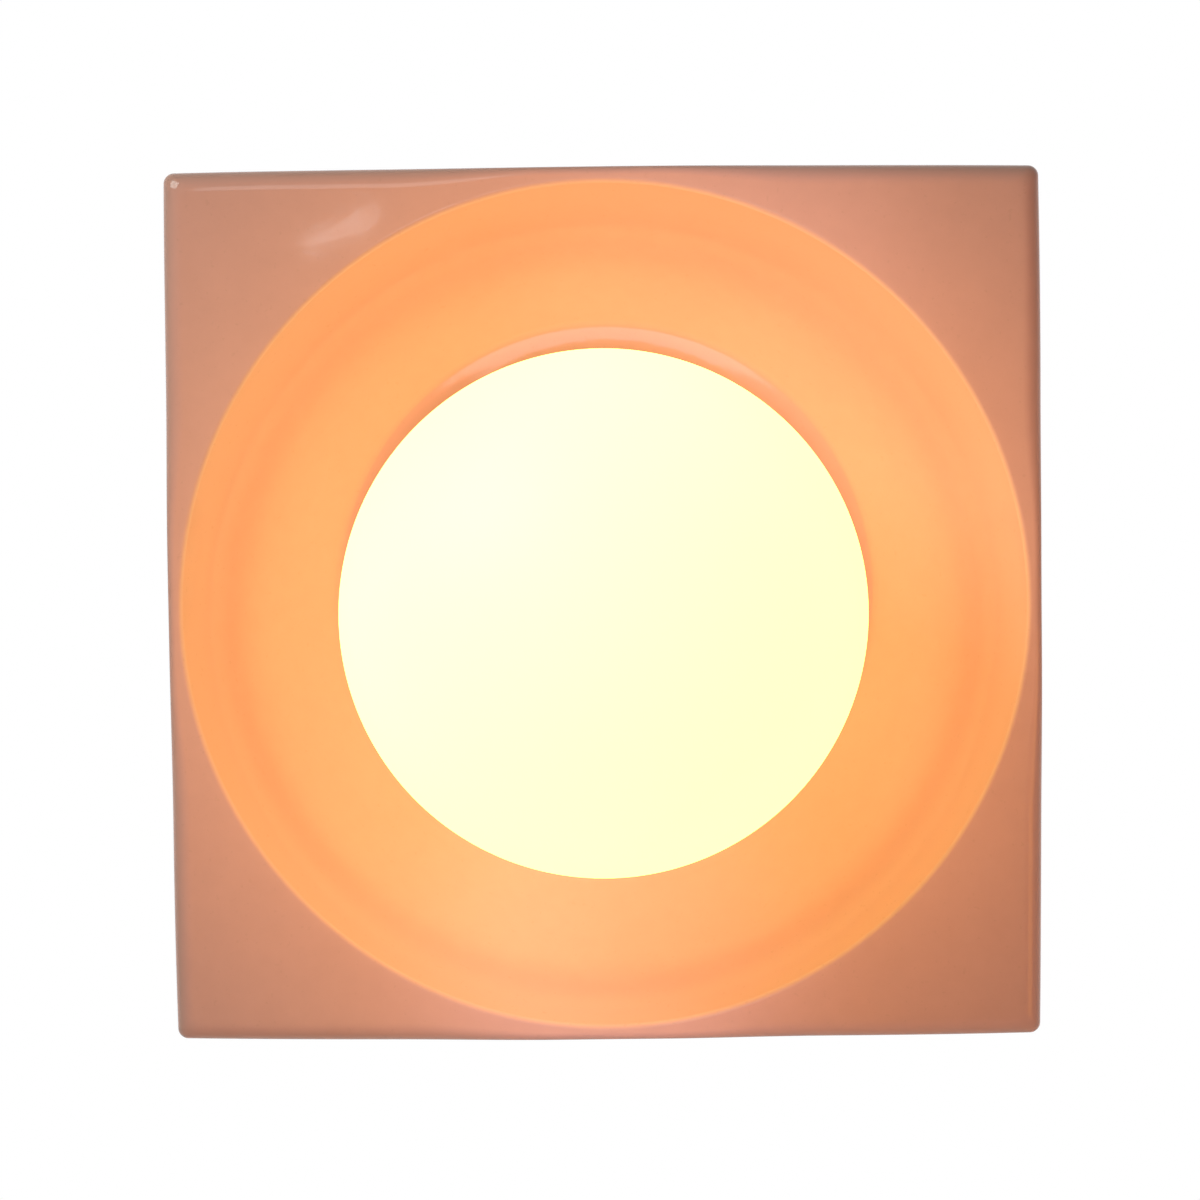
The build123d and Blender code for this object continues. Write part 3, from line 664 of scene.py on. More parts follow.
class Finishes:
    """Every finish of the sconce."""

    glaze = Glaze(
        "terracotta_glaze",
        (0.62, 0.308, 0.242),
        0.05,
        scale=26.0,
        tone=0.09,
        unevenness=0.02,
        relief=0.03 * MM,
    )
    foam = Finish("foam", (0.035, 0.034, 0.033), 0.9, scale=400.0, tone=0.5, relief=0.2 * MM)
    zinc = Finish(
        "zinc_steel",
        (0.66, 0.67, 0.66),
        0.32,
        metallic=1.0,
        scale=70.0,
        stretch=(6.0, 1.0, 1.0),
        tone=0.14,
        unevenness=0.12,
    )
    rubber = Finish("black_rubber", (0.022, 0.022, 0.022), 0.7, scale=300.0)
    fibre = Finish("fibre", (0.34, 0.07, 0.045), 0.8, scale=500.0, tone=0.35, relief=0.05 * MM)
    paint = Finish("matching_paint", (0.60, 0.29, 0.21), 0.3, scale=150.0, tone=0.06, unevenness=0.05)
    nickel = Finish("nickel", (0.74, 0.71, 0.66), 0.16, metallic=1.0, scale=150.0, tone=0.08)
    silicone = Finish("silicone", (0.60, 0.54, 0.48), 0.55, scale=120.0, tone=0.1)
    porcelain = Finish("porcelain", (0.82, 0.80, 0.75), 0.14, scale=90.0, tone=0.06, unevenness=0.05)
    brass = Finish("brass", (0.74, 0.53, 0.22), 0.26, metallic=1.0, scale=200.0, tone=0.18, unevenness=0.14)
    nylon = Finish("nylon", (0.79, 0.77, 0.71), 0.48, scale=250.0, tone=0.05)
    brown = Finish("brown_insulation", (0.13, 0.05, 0.025), 0.42, scale=300.0)
    blue = Finish("blue_insulation", (0.03, 0.11, 0.42), 0.42, scale=300.0)
    green = Striped("green_insulation", (0.05, 0.28, 0.06), 0.42, scale=300.0)
    opal = LitOpal("opal_glass", (0.30, 0.26, 0.10), 0.6, scale=30.0, tone=0.02, unevenness=0.02)
    clear = ClearGlass("clear_glass", (0.95, 0.97, 0.97), 0.04, tone=0.02, unevenness=0.01)
    phosphor = Finish("led_phosphor", (0.95, 0.66, 0.12), 0.6, scale=400.0)
    wire = Finish("support_wire", (0.66, 0.65, 0.63), 0.3, metallic=1.0, scale=300.0)
    board = Finish("circuit_board", (0.04, 0.22, 0.08), 0.45, scale=300.0)
    black_glass = Finish("black_glass", (0.012, 0.012, 0.016), 0.12, scale=200.0)
    solder = Finish("solder", (0.63, 0.63, 0.61), 0.38, metallic=1.0, scale=350.0, tone=0.2, relief=0.08 * MM)


def put_on(piece: bpy.types.Object, finish: Finish) -> None:
    """Gives a piece, or a node of the frame, one finish."""
    piece.data.materials.clear()
    piece.data.materials.append(finish.material())


def dress(finishes: dict[str, Finish]) -> None:
    """Dresses nodes of the frame that keep their own shape.

    Args:
        finishes: Finish of each node.
    """
    for node, finish in finishes.items():
        put_on(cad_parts[node], finish)
        log.info("%s keeps its shape, in %s", node, finish.name)


def mount(piece: bpy.types.Object, body: str, finish: Finish, node: str) -> None:
    """Dresses a new piece, lets it ride on a body and stand for a node of the frame.

    Args:
        piece: The new piece.
        body: Body that it moves with.
        finish: Its finish.
        node: Node that it stands for.
    """
    put_on(piece, finish)
    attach(piece, body)
    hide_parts(node)
    log.info("%s rides on %s and stands for %s", piece.name, body, node)


# Sub-assemblies


@dataclass(frozen=True)
class Band:
    """Rows of the block's skin along one curve of its section, given by row and ray, by row, or as one value.

    Attributes:
        radius: Distance from the lamp's axis.
        out: Distance from the wall.
        thin_and_shade: How far the glaze draws back from an edge, with painted shade there.
        lit: How much of the painted glow, of light coming through the clay, the colour gets.
        bare: 1 where the clay has no glaze.
        free: How far the waves of handwork reach.
    """

    radius: Rows
    out: Rows
    thin_and_shade: Rows = 0.0
    lit: Rows = 0.0
    bare: Rows = 0.0
    free: Rows = 0.0


@dataclass(frozen=True)
class CeramicBlock:
    """Glazed block with a spherical dish in its front, hollow and open at the back.

    Attributes:
        wall: Thickness of the clay.
        corner_round: Radius of the four long edges.
        hollow_round: Radius of the hollow's corners.
        corner_draw: How far the corners lie inside a true square.
        rim_margin: Least width of the face between the dish and the side.
        rim_round: Radius of the dish's rolled rim.
        front_round: Radius of the face's outer edge in the middle of a side.
        front_round_more: What it gains towards the corners.
        front_round_gain: Shares of the way to a corner between which it gains that.
        rear_round: Radius of the rear edge.
        floor_d: Diameter of the dish's flat floor.
        floor_round: Radius between the floor and the dish.
        floor_depth: Depth of the floor behind the face.
        hole_d: Diameter of the hole in the floor.
        hole_round: Radius of the hole's edges.
        waviness: Depth of the slow waves that handwork leaves.
        thin_and_shade_turn: Angles of the front edge between which the glaze draws back and the painted shade
            sets in.
        thin_and_shade_side: Shares of the side between which the thinned glaze and its painted shade fade
            out.
        lit_dish: Shares of the dish between which the painted glow of light through the clay starts.
        lit_rim: Shares of the rim between which that ends.
        side_steps: Columns along a side.
        corner_steps: Columns round a corner.
    """

    # Mask of thinned glaze over the edges, which also carries painted shade there
    THIN_AND_SHADED = "thin_glaze_and_painted_shade"
    LIT = "lit_rim"
    BARE = "bare_clay"
    # Rows of points on each curve of the section
    ROWS = {
        "hole": 5,
        "floor": 14,
        "round": 10,
        "dish": 72,
        "rim": 12,
        "face": 30,
        "side": 40,
        "rear": 4,
        "hollow": 20,
        "shelf": 5,
        "back": 24,
        "floor_back": 10,
    }
    # Rate of each sine along the three axes, in radians per metre, and its phase
    WAVES = (((47.0, 0.0, 31.0), 0.7), ((0.0, -21.0, 38.0), 1.9), ((29.0, 66.0, 0.0), 2.3))

    wall: float = 8 * MM
    corner_round: float = 2.4 * MM
    hollow_round: float = 5 * MM
    corner_draw: float = 0.5 * MM
    rim_margin: float = 3.6 * MM
    rim_round: float = 1.5 * MM
    front_round: float = 1.9 * MM
    front_round_more: float = 2.4 * MM
    front_round_gain: Pair = (0.12, 0.5)
    rear_round: float = 1 * MM
    floor_d: float = 130 * MM
    floor_round: float = 3 * MM
    floor_depth: float = 44.5 * MM
    hole_d: float = 58 * MM
    hole_round: float = 0.8 * MM
    waviness: float = 0.5 * MM
    thin_and_shade_turn: Pair = (0.1, 1.3)
    thin_and_shade_side: Pair = (0.0, 0.12)
    lit_dish: Pair = (0.6, 1.0)
    lit_rim: Pair = (0.3, 1.0)
    side_steps: int = 88
    corner_steps: int = 10

    def outline(self, half: float, corner: float) -> np.ndarray:
        """Rounded square, with as many points on each side and corner whatever its size.

        Args:
            half: Half the square's side.
            corner: Radius of its corners.

        Returns:
            Pairs of across and up, starting in the upper right corner.
        """
        square = [(half, half, corner), (-half, half, corner), (-half, -half, corner), (half, -half, corner)]
        arcs = rounded(square, self.corner_steps).reshape(4, self.corner_steps, 2)
        share = (np.arange(1, self.side_steps) / self.side_steps)[None, :, None]
        sides = arcs[:, -1:] * (1 - share) + np.roll(arcs, -1, axis=0)[:, :1] * share
        return np.concatenate([arcs, sides], axis=1).reshape(-1, 2)

    def sphere(self, block: Extent) -> Sphere:
        """Sphere of the dish, through its rim and its floor's edge.

        Its centre lies ahead of the face by the rim's radius squared, less the squares of the floor's radius
        and depth, over twice the depth.

        Args:
            block: Extent of the block.

        Returns:
            The sphere.
        """
        rim_r = block.half - self.rim_margin
        depth = self.floor_depth
        ahead = (rim_r**2 - (self.floor_d / 2) ** 2 - depth**2) / (2 * depth)
        return Sphere(sqrt(rim_r**2 + ahead**2), block.front + ahead)

    def build(self) -> None:
        """Builds the block as one closed skin: out over dish and face, back along the sides, and in again.

        Each column of the grid follows one ray from the lamp's axis to a point of the square outline.
        """
        block = Extent.of("ceramic_body")
        square = self.outline(block.half, self.corner_round)
        ray = unit(square)
        bands = [*self.dish_bands(block), *self.side_bands(block, square), *self.hollow_bands(block)]
        layers = [np.stack(np.broadcast_arrays(*astuple(band), ray[:, 0])[:-1]) for band in bands]
        radius, out, thin_and_shade, lit, bare, free = np.concatenate(layers, axis=1)
        points = self.waved(np.stack([radius * ray[:, 0], -out, radius * ray[:, 1]], axis=-1), free)
        kept = {self.THIN_AND_SHADED: thin_and_shade, self.LIT: lit, self.BARE: bare}
        piece = surface("glazed_block", [points], Wrap.RING, attributes=kept)
        mount(piece, FIXTURE, Finishes.glaze, "ceramic_body")

    def dish_bands(self, block: Extent) -> list[Band]:
        """Bands from the hole's front edge over the floor and up the dish to the top of its rolled rim.

        Args:
            block: Extent of the block.

        Returns:
            The bands in order.
        """
        rows = self.ROWS
        dish = self.sphere(block)
        floor = block.front - self.floor_depth
        hole_r = self.hole_d / 2 + self.hole_round
        fillet = dish.grown(-self.floor_round)
        fillet_out = floor + self.floor_round
        fillet_r = fillet.ring(fillet_out)
        fillet_end = fillet.turn(fillet_out)
        rim = dish.grown(self.rim_round)
        rim_out = block.front - self.rim_round
        rim_r = rim.ring(rim_out)
        rim_start = rim.turn(rim_out)
        hole_turn = between(pi / 2, pi, rows["hole"])
        fillet_turn = between(0.0, fillet_end, rows["round"])
        rim_turn = between(rim_start, pi, rows["rim"])
        lit_dish = fade(between(0, 1, rows["dish"]), *self.lit_dish)
        lit_rim = 1 - fade(between(0, 1, rows["rim"]), *self.lit_rim)
        return [
            Band(*arc((hole_r, floor - self.hole_round), -self.hole_round, self.hole_round, hole_turn)),
            Band(between(hole_r, fillet_r, rows["floor"]), floor),
            Band(*arc((fillet_r, fillet_out), self.floor_round, self.floor_round, fillet_turn)),
            Band(*dish.arc(between(fillet_end, rim_start, rows["dish"])), lit=lit_dish),
            Band(*arc((rim_r, rim_out), -self.rim_round, self.rim_round, rim_turn), lit=lit_rim),
        ]

    def side_bands(self, block: Extent, square: np.ndarray) -> list[Band]:
        """Bands over the face, round its softer outer edge, along the sides and in over the rear edge.

        Args:
            block: Extent of the block.
            square: Outline of the block.

        Returns:
            The bands in order.
        """
        rows = self.ROWS
        rear_round = self.rear_round
        to_corner = np.abs(square).min(-1) / block.half
        reach = np.linalg.norm(square, axis=-1) * (1 - self.corner_draw / block.half * to_corner**4)
        front_round = self.front_round + self.front_round_more * fade(to_corner, *self.front_round_gain)
        edge_reach = front_round / np.abs(unit(square)).max(-1)
        edge_r = reach - edge_reach
        edge_out = block.front - front_round
        rear_out = block.rear + rear_round
        rim_r = self.sphere(block).grown(self.rim_round).ring(block.front - self.rim_round)
        edge_turn = between(0.0, pi / 2, rows["round"])
        fade_along_side = fade(between(0, 1, rows["side"]), *self.thin_and_shade_side)
        return [
            Band(between(rim_r, edge_r, rows["face"]), block.front, free=between(0, 1, rows["face"])),
            # The front edge and the side's front are darker: thinned glaze, and painted shade
            Band(
                *arc((edge_r, edge_out), edge_reach, front_round, pi - edge_turn),
                thin_and_shade=fade(edge_turn, *self.thin_and_shade_turn),
                free=1.0,
            ),
            Band(reach, between(edge_out, rear_out, rows["side"]), thin_and_shade=1 - fade_along_side, free=1.0),
            Band(*arc((reach - rear_round, rear_out), rear_round, rear_round, pi / 2 - edge_turn), bare=1.0),
            Band(between(reach - rear_round, self.hollow_reach(block), rows["rear"]), block.rear, bare=1.0),
        ]

    def hollow_reach(self, block: Extent) -> np.ndarray:
        """Distance from the lamp's axis to the hollow's side, along each ray."""
        return np.linalg.norm(self.outline(block.half - self.wall, self.hollow_round), axis=-1)

    def hollow_bands(self, block: Extent) -> list[Band]:
        """Bands of the bare inside: along its sides, over its shelf, down the dish's back and in to the hole.

        Args:
            block: Extent of the block.

        Returns:
            The bands in order.
        """
        rows = self.ROWS
        hole_round = self.hole_round
        reach = self.hollow_reach(block)
        back = self.sphere(block).grown(self.wall)
        floor = block.front - self.floor_depth - self.wall
        hole_r = self.hole_d / 2 + hole_round
        shelf_turn = np.arcsin(np.minimum(reach, back.ring(block.front - self.wall)) / back.radius)
        shelf_r, shelf_out = back.arc(shelf_turn)
        hole_turn = between(0.0, pi / 2, rows["hole"])
        return [
            Band(reach, between(block.rear, shelf_out, rows["hollow"]), bare=1.0),
            Band(between(reach, shelf_r, rows["shelf"]), shelf_out, bare=1.0),
            Band(*back.arc(between(shelf_turn, back.turn(floor), rows["back"])), bare=1.0),
            Band(between(back.ring(floor), hole_r, rows["floor_back"]), floor, bare=1.0),
            Band(*arc((hole_r, floor + hole_round), -hole_round, hole_round, hole_turn)),
        ]

    def waved(self, points: np.ndarray, free: np.ndarray) -> np.ndarray:
        """Slow waves of handwork: the product of two sines plus a third, pushed in towards the lamp's axis.

        Args:
            points: Grid of points.
            free: How far each one takes part, from 0 to 1.

        Returns:
            The waved grid.
        """
        first, second, third = (np.sin(points @ np.array(rates) + phase) for rates, phase in self.WAVES)
        share = (2 - first * second - third) / 4
        outward = unit(points * np.array([1.0, 0.0, 1.0]))
        return points - outward * (self.waviness * share * free)[..., None]


@dataclass(frozen=True)
class Lamp:
    """Globe lamp with a screw cap.

    Attributes:
        glass: Thickness of the glass.
        neck_r: Radius of the neck.
        bend_r: Radius of the bend between globe and neck.
        tuck_r: Radius of the neck inside the cap.
        tuck: How deep the neck goes into the cap.
        lip: Height of the cap's flared lip.
        foot_r: Radius of the cap's narrow end.
        cone: Height of the cone at that end.
        thread_r: Radius of the thread's crest.
        thread_depth: Depth of the thread.
        thread_stop: Distances below the lip between which the thread runs out.
        cap_wall: Thickness of the cap's wall.
        bore_r: Radius of the cap's inner wall.
        ball_rows: Rows over the globe.
        bend_rows: Rows over the bend.
        cap_rows: Rows along the cap.
        globe_columns: Columns round the globe.
        cap_columns: Columns round the cap.
    """

    glass: float = 1.2 * MM
    neck_r: float = 17 * MM
    bend_r: float = 20 * MM
    tuck_r: float = 12.1 * MM
    tuck: float = 7 * MM
    lip: float = 1.6 * MM
    foot_r: float = 9.3 * MM
    cone: float = 2.3 * MM
    thread_r: float = 13.1 * MM
    thread_depth: float = 0.7 * MM
    thread_stop: Pair = (6 * MM, 3 * MM)
    cap_wall: float = 0.5 * MM
    bore_r: float = 12.2 * MM
    ball_rows: int = 110
    bend_rows: int = 24
    cap_rows: int = 130
    globe_columns: int = 192
    cap_columns: int = 96

    def build(self) -> None:
        """Builds the globe and the cap, and dresses the rest of the lamp."""
        cap = Extent.of("lamp_cap")
        skins = np.concatenate([self.skin(0.0, cap), self.skin(self.glass, cap)[::-1]])
        globe = surface("opal_globe", [turned(skins, self.globe_columns)], Wrap.AROUND)
        mount(globe, LAMP, Finishes.opal, "lamp_globe")
        thread = surface("threaded_cap", [self.cap(cap)], Wrap.RING, THREAD_SMOOTH_TURN)
        mount(thread, LAMP, Finishes.nickel, "lamp_cap")
        dress({
            "lamp_stem": Finishes.clear,
            "led_filaments": Finishes.phosphor,
            "filament_wires": Finishes.wire,
            "driver_board": Finishes.board,
            "cap_insulator": Finishes.black_glass,
            "cap_contact": Finishes.solder,
        })

    def skin(self, inset: float, cap: Extent) -> np.ndarray:
        """Half section of the glass: the ball's arc, the bend's arc back out, and the neck.

        Args:
            inset: How far inside the outer skin it lies.
            cap: Extent of the cap.

        Returns:
            Pairs of radius and out, from the globe's tip to the neck's end.
        """
        globe = Extent.of("lamp_globe")
        ball = globe.half - inset
        neck = self.neck_r - inset
        bend = self.bend_r + inset
        tuck = self.tuck_r - inset
        centre = globe.front - globe.half
        shoulder = cap.front + self.lip
        behind = sqrt((ball + bend) ** 2 - (neck + bend) ** 2)
        lean = np.arctan2(neck + bend, behind)
        ball_turn = between(pi, lean, self.ball_rows)
        bend_turn = between(pi - lean, pi / 2, self.bend_rows)
        end = [(neck, shoulder + neck - tuck), (tuck, shoulder), (tuck, cap.front - self.tuck + inset)]
        return np.concatenate([
            np.hstack(arc((0.0, centre), ball, ball, ball_turn)),
            np.hstack(arc((neck + bend, centre - behind), -bend, bend, bend_turn)),
            np.array(end),
        ])

    def cap(self, cap: Extent) -> np.ndarray:
        """Cap as a closed wall: a cone, a threaded run and a flared lip outside, and a plain bore inside.

        Args:
            cap: Extent of the cap.

        Returns:
            Grid of points.
        """
        cone_end = cap.rear + self.cone
        stop = tuple(cap.front - distance for distance in self.thread_stop)
        thread = Thread(LAMP_PITCH, self.thread_depth, (cone_end, cone_end + self.cone), stop)
        out = between(cap.rear, cap.front, self.cap_rows)
        angle = circle(self.cap_columns)
        bends = [cap.rear, cone_end, cap.front - self.lip, cap.front]
        plain = np.interp(out, bends, [self.foot_r, self.thread_r, self.thread_r, cap.half])
        flare = np.maximum(plain - self.thread_r, 0)
        bore = np.minimum(plain - self.cap_wall, self.bore_r + flare)
        outside = around(plain - thread.groove(out, angle), out, angle)
        return np.concatenate([outside, around(bore, out, angle)[::-1]])


@dataclass(frozen=True)
class Screw:
    """Turned screw with a soft-edged head and a recess for its driver.

    Attributes:
        shank_r: Radius of the shank.
        shank: Length of the shank, from the head's seat.
        head_r: Radius of the head.
        head: Height of the head.
        recess: Shape of the recess.
    """

    COLUMNS = 64
    SOFT_ROWS = 6
    TOP_ROWS = 26
    SOFT_SHARE = 1 / 3  # Radius of the head's edge, of the head's height
    TOP_SHARE = 0.9  # Height above which a point lies on the head's top, of the head's height
    DEPTH_SHARE = 0.55  # Depth of the recess, of the head's height
    ARM_SHARE = 0.13  # Half the width of the recess's arms, of the head's radius
    ARM_FADE = 1.5  # Where an arm's side has run out, of half its width
    REACH_SHARE = 0.68  # Reach of the crossed arms, of the head's radius
    REACH_FADE = 0.85  # Where an arm's end starts to run out, of its reach

    shank_r: float
    shank: float
    head_r: float
    head: float
    recess: Recess

    def grid(self) -> np.ndarray:
        """Points of the screw, with its seat at zero and its head looking to the room.

        The recess lowers the head's top by a depth that fades out at the recess's sides.

        Returns:
            Grid of points.
        """
        soft = self.SOFT_SHARE * self.head
        centre = (self.head_r - soft, self.head - soft)
        edge = np.hstack(arc(centre, soft, soft, between(pi / 2, pi, self.SOFT_ROWS)))
        shank = np.array([(0, -self.shank), (self.shank_r, -self.shank), (self.shank_r, 0), (self.head_r, 0)])
        top_r = between(self.head_r - soft, 0.0, self.TOP_ROWS)[1:]
        top = np.hstack([top_r, np.full_like(top_r, self.head)])
        points = turned(np.concatenate([shank, edge, top]), self.COLUMNS)
        on_top = -points[..., 1] > self.TOP_SHARE * self.head
        points[..., 1] += self.DEPTH_SHARE * self.head * self.slots(points) * on_top
        return points

    def slots(self, points: np.ndarray) -> np.ndarray:
        """Where the recess is, 1 in its arms and 0 beside them.

        Args:
            points: Grid of the screw's points.

        Returns:
            Share of the recess's depth at each point.
        """
        x = points[..., 0]
        z = points[..., 2]
        arm = self.ARM_SHARE * self.head_r
        reach = self.REACH_SHARE * self.head_r
        upright = 1 - fade(np.abs(x), arm, self.ARM_FADE * arm)
        if self.recess is Recess.SLOT:
            return upright
        level = 1 - fade(np.abs(z), arm, self.ARM_FADE * arm)
        return np.maximum(upright, level) * (1 - fade(np.hypot(x, z), self.REACH_FADE * reach, reach))

    def fasten(self, name: str, node: str, finish: Finish, seats: Sequence[tuple[Facing, Point]]) -> None:
        """Builds all screws of a node as one piece.

        Args:
            name: Name of the piece.
            node: Node that it stands for.
            finish: Its finish.
            seats: Which way each screw's head looks, and the place of its seat.
        """
        grids = [facing(self.grid(), way, seat) for way, seat in seats]
        mount(surface(name, grids, Wrap.AROUND), FIXTURE, finish, node)


@dataclass(frozen=True)
class Holder:
    """Lampholder on its strap, with its threaded shell, neck seal, contacts, terminals and screws.

    Attributes:
        shell_wall: Thickness of the shell.
        shell_height: Height of the shell over the holder's floor.
        shell_floor_r: Radius of the hole in the shell's floor.
        thread_depth: Depth of the shell's thread.
        thread_start: Distances over the floor between which the thread runs in.
        thread_stop: Distance below the mouth over which it runs out.
        seal_lip: Thickness of the seal's lips.
        seal_reach: How far its lips reach past the clay's hole, and its wall's thickness inside that hole.
        seal_gap: Room between the seal and the hole.
        seal_bore_r: Radius of the front lip's bore.
        seal_soft: Radius of the lips' outer edges.
        seal_bore_soft: Radius of the bore's edges.
        seal_corner_soft: Radius of its other edges.
        foot_screw: Screw through a foot of the strap.
        foot_x: How far each of these lies from the axis.
        web_screw: Screw through the strap's web into the lampholder.
        web_x: How far each of these lies from the axis.
        terminal_screw: Clamp screw of a terminal.
        shell_rows: Rows along the thread.
        shell_columns: Columns round the shell.
        seal_columns: Columns round the seal.
    """

    shell_wall: float = 0.5 * MM
    shell_height: float = 26 * MM
    shell_floor_r: float = 9 * MM
    thread_depth: float = 0.55 * MM
    thread_start: Pair = (3 * MM, 6 * MM)
    thread_stop: float = 2 * MM
    seal_lip: float = 1.4 * MM
    seal_reach: float = 3 * MM
    seal_gap: float = 0.1 * MM
    seal_bore_r: float = 20.4 * MM
    seal_soft: float = 0.6 * MM
    seal_bore_soft: float = 0.5 * MM
    seal_corner_soft: float = 0.3 * MM
    foot_screw: Screw = Screw(2 * MM, 3.7 * MM, head_r=3.8 * MM, head=2.6 * MM, recess=Recess.CROSS)
    foot_x: float = 29 * MM
    web_screw: Screw = Screw(1.7 * MM, 10 * MM, head_r=3 * MM, head=2.2 * MM, recess=Recess.CROSS)
    web_x: float = 11 * MM
    terminal_screw: Screw = Screw(1.5 * MM, 2.7 * MM, head_r=2.6 * MM, head=1.6 * MM, recess=Recess.SLOT)
    shell_rows: int = 120
    shell_columns: int = 96
    seal_columns: int = 128

    def build(self) -> None:
        """Builds the shell, the neck seal and the screws, and dresses the rest."""
        self.shell()
        self.seal()
        self.screws()
        dress({
            "holder_bracket": Finishes.zinc,
            "holder_body": Finishes.porcelain,
            "centre_contact": Finishes.brass,
            "holder_terminals": Finishes.brass,
        })

    def shell(self) -> None:
        """Builds the shell as a closed wall: plain outside, and inside a floor ring and the cap's thread."""
        size = Extent.of("screw_shell")
        floor = size.front - self.shell_height
        start = tuple(floor + distance for distance in self.thread_start)
        thread = Thread(LAMP_PITCH, self.thread_depth, start, (size.front - self.thread_stop, size.front))
        out = between(floor + self.shell_wall, size.front, self.shell_rows)
        angle = circle(self.shell_columns)
        plain = [
            (size.half, size.front),
            (size.half, floor),
            (self.shell_floor_r, floor),
            (self.shell_floor_r, floor + self.shell_wall),
        ]
        inside = around(size.half - self.shell_wall - thread.groove(out, angle), out, angle)
        grid = np.concatenate([turned(np.array(plain), self.shell_columns), inside])
        piece = surface("threaded_shell", [grid], Wrap.RING, THREAD_SMOOTH_TURN)
        mount(piece, FIXTURE, Finishes.nickel, "screw_shell")

    def seal(self) -> None:
        """Builds the silicone ring in the dish floor, with soft lips on both sides of the clay."""
        lip_r, front, rear = Extent.of("neck_seal")
        groove_r = lip_r - self.seal_reach - self.seal_gap
        inner_r = groove_r - self.seal_reach
        front_lip = front - self.seal_lip
        rear_lip = rear + self.seal_lip
        ring = rounded([
            (self.seal_bore_r, front, self.seal_bore_soft),
            (lip_r, front, self.seal_soft),
            (lip_r, front_lip, self.seal_corner_soft),
            (groove_r, front_lip, 0),
            (groove_r, rear_lip, 0),
            (lip_r, rear_lip, self.seal_corner_soft),
            (lip_r, rear, self.seal_soft),
            (inner_r, rear, self.seal_soft),
            (inner_r, front_lip, self.seal_corner_soft),
            (self.seal_bore_r, front_lip, self.seal_bore_soft),
        ])
        piece = surface("soft_neck_seal", [turned(ring, self.seal_columns)], Wrap.RING)
        mount(piece, FIXTURE, Finishes.silicone, "neck_seal")

    def screws(self) -> None:
        """Builds the screws of the strap, the lampholder and its terminals."""
        foot_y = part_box("bracket_screws")[0].y + self.foot_screw.head
        feet = [(Facing.ROOM, (side * self.foot_x, foot_y, 0.0)) for side in BOTH_SIDES]
        self.foot_screw.fasten("strap_screws", "bracket_screws", Finishes.zinc, feet)
        web_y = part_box("holder_screws")[1].y - self.web_screw.head
        web = [(Facing.WALL, (side * self.web_x, web_y, 0.0)) for side in BOTH_SIDES]
        self.web_screw.fasten("lampholder_screws", "holder_screws", Finishes.zinc, web)
        low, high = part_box("holder_terminals")
        middle = (low.y + high.y) / 2
        clamps = [(Facing.UP, (0.0, middle, high.z)), (Facing.DOWN, (0.0, middle, -high.z))]
        self.terminal_screw.fasten("clamp_screws", "holder_terminal_screws", Finishes.brass, clamps)


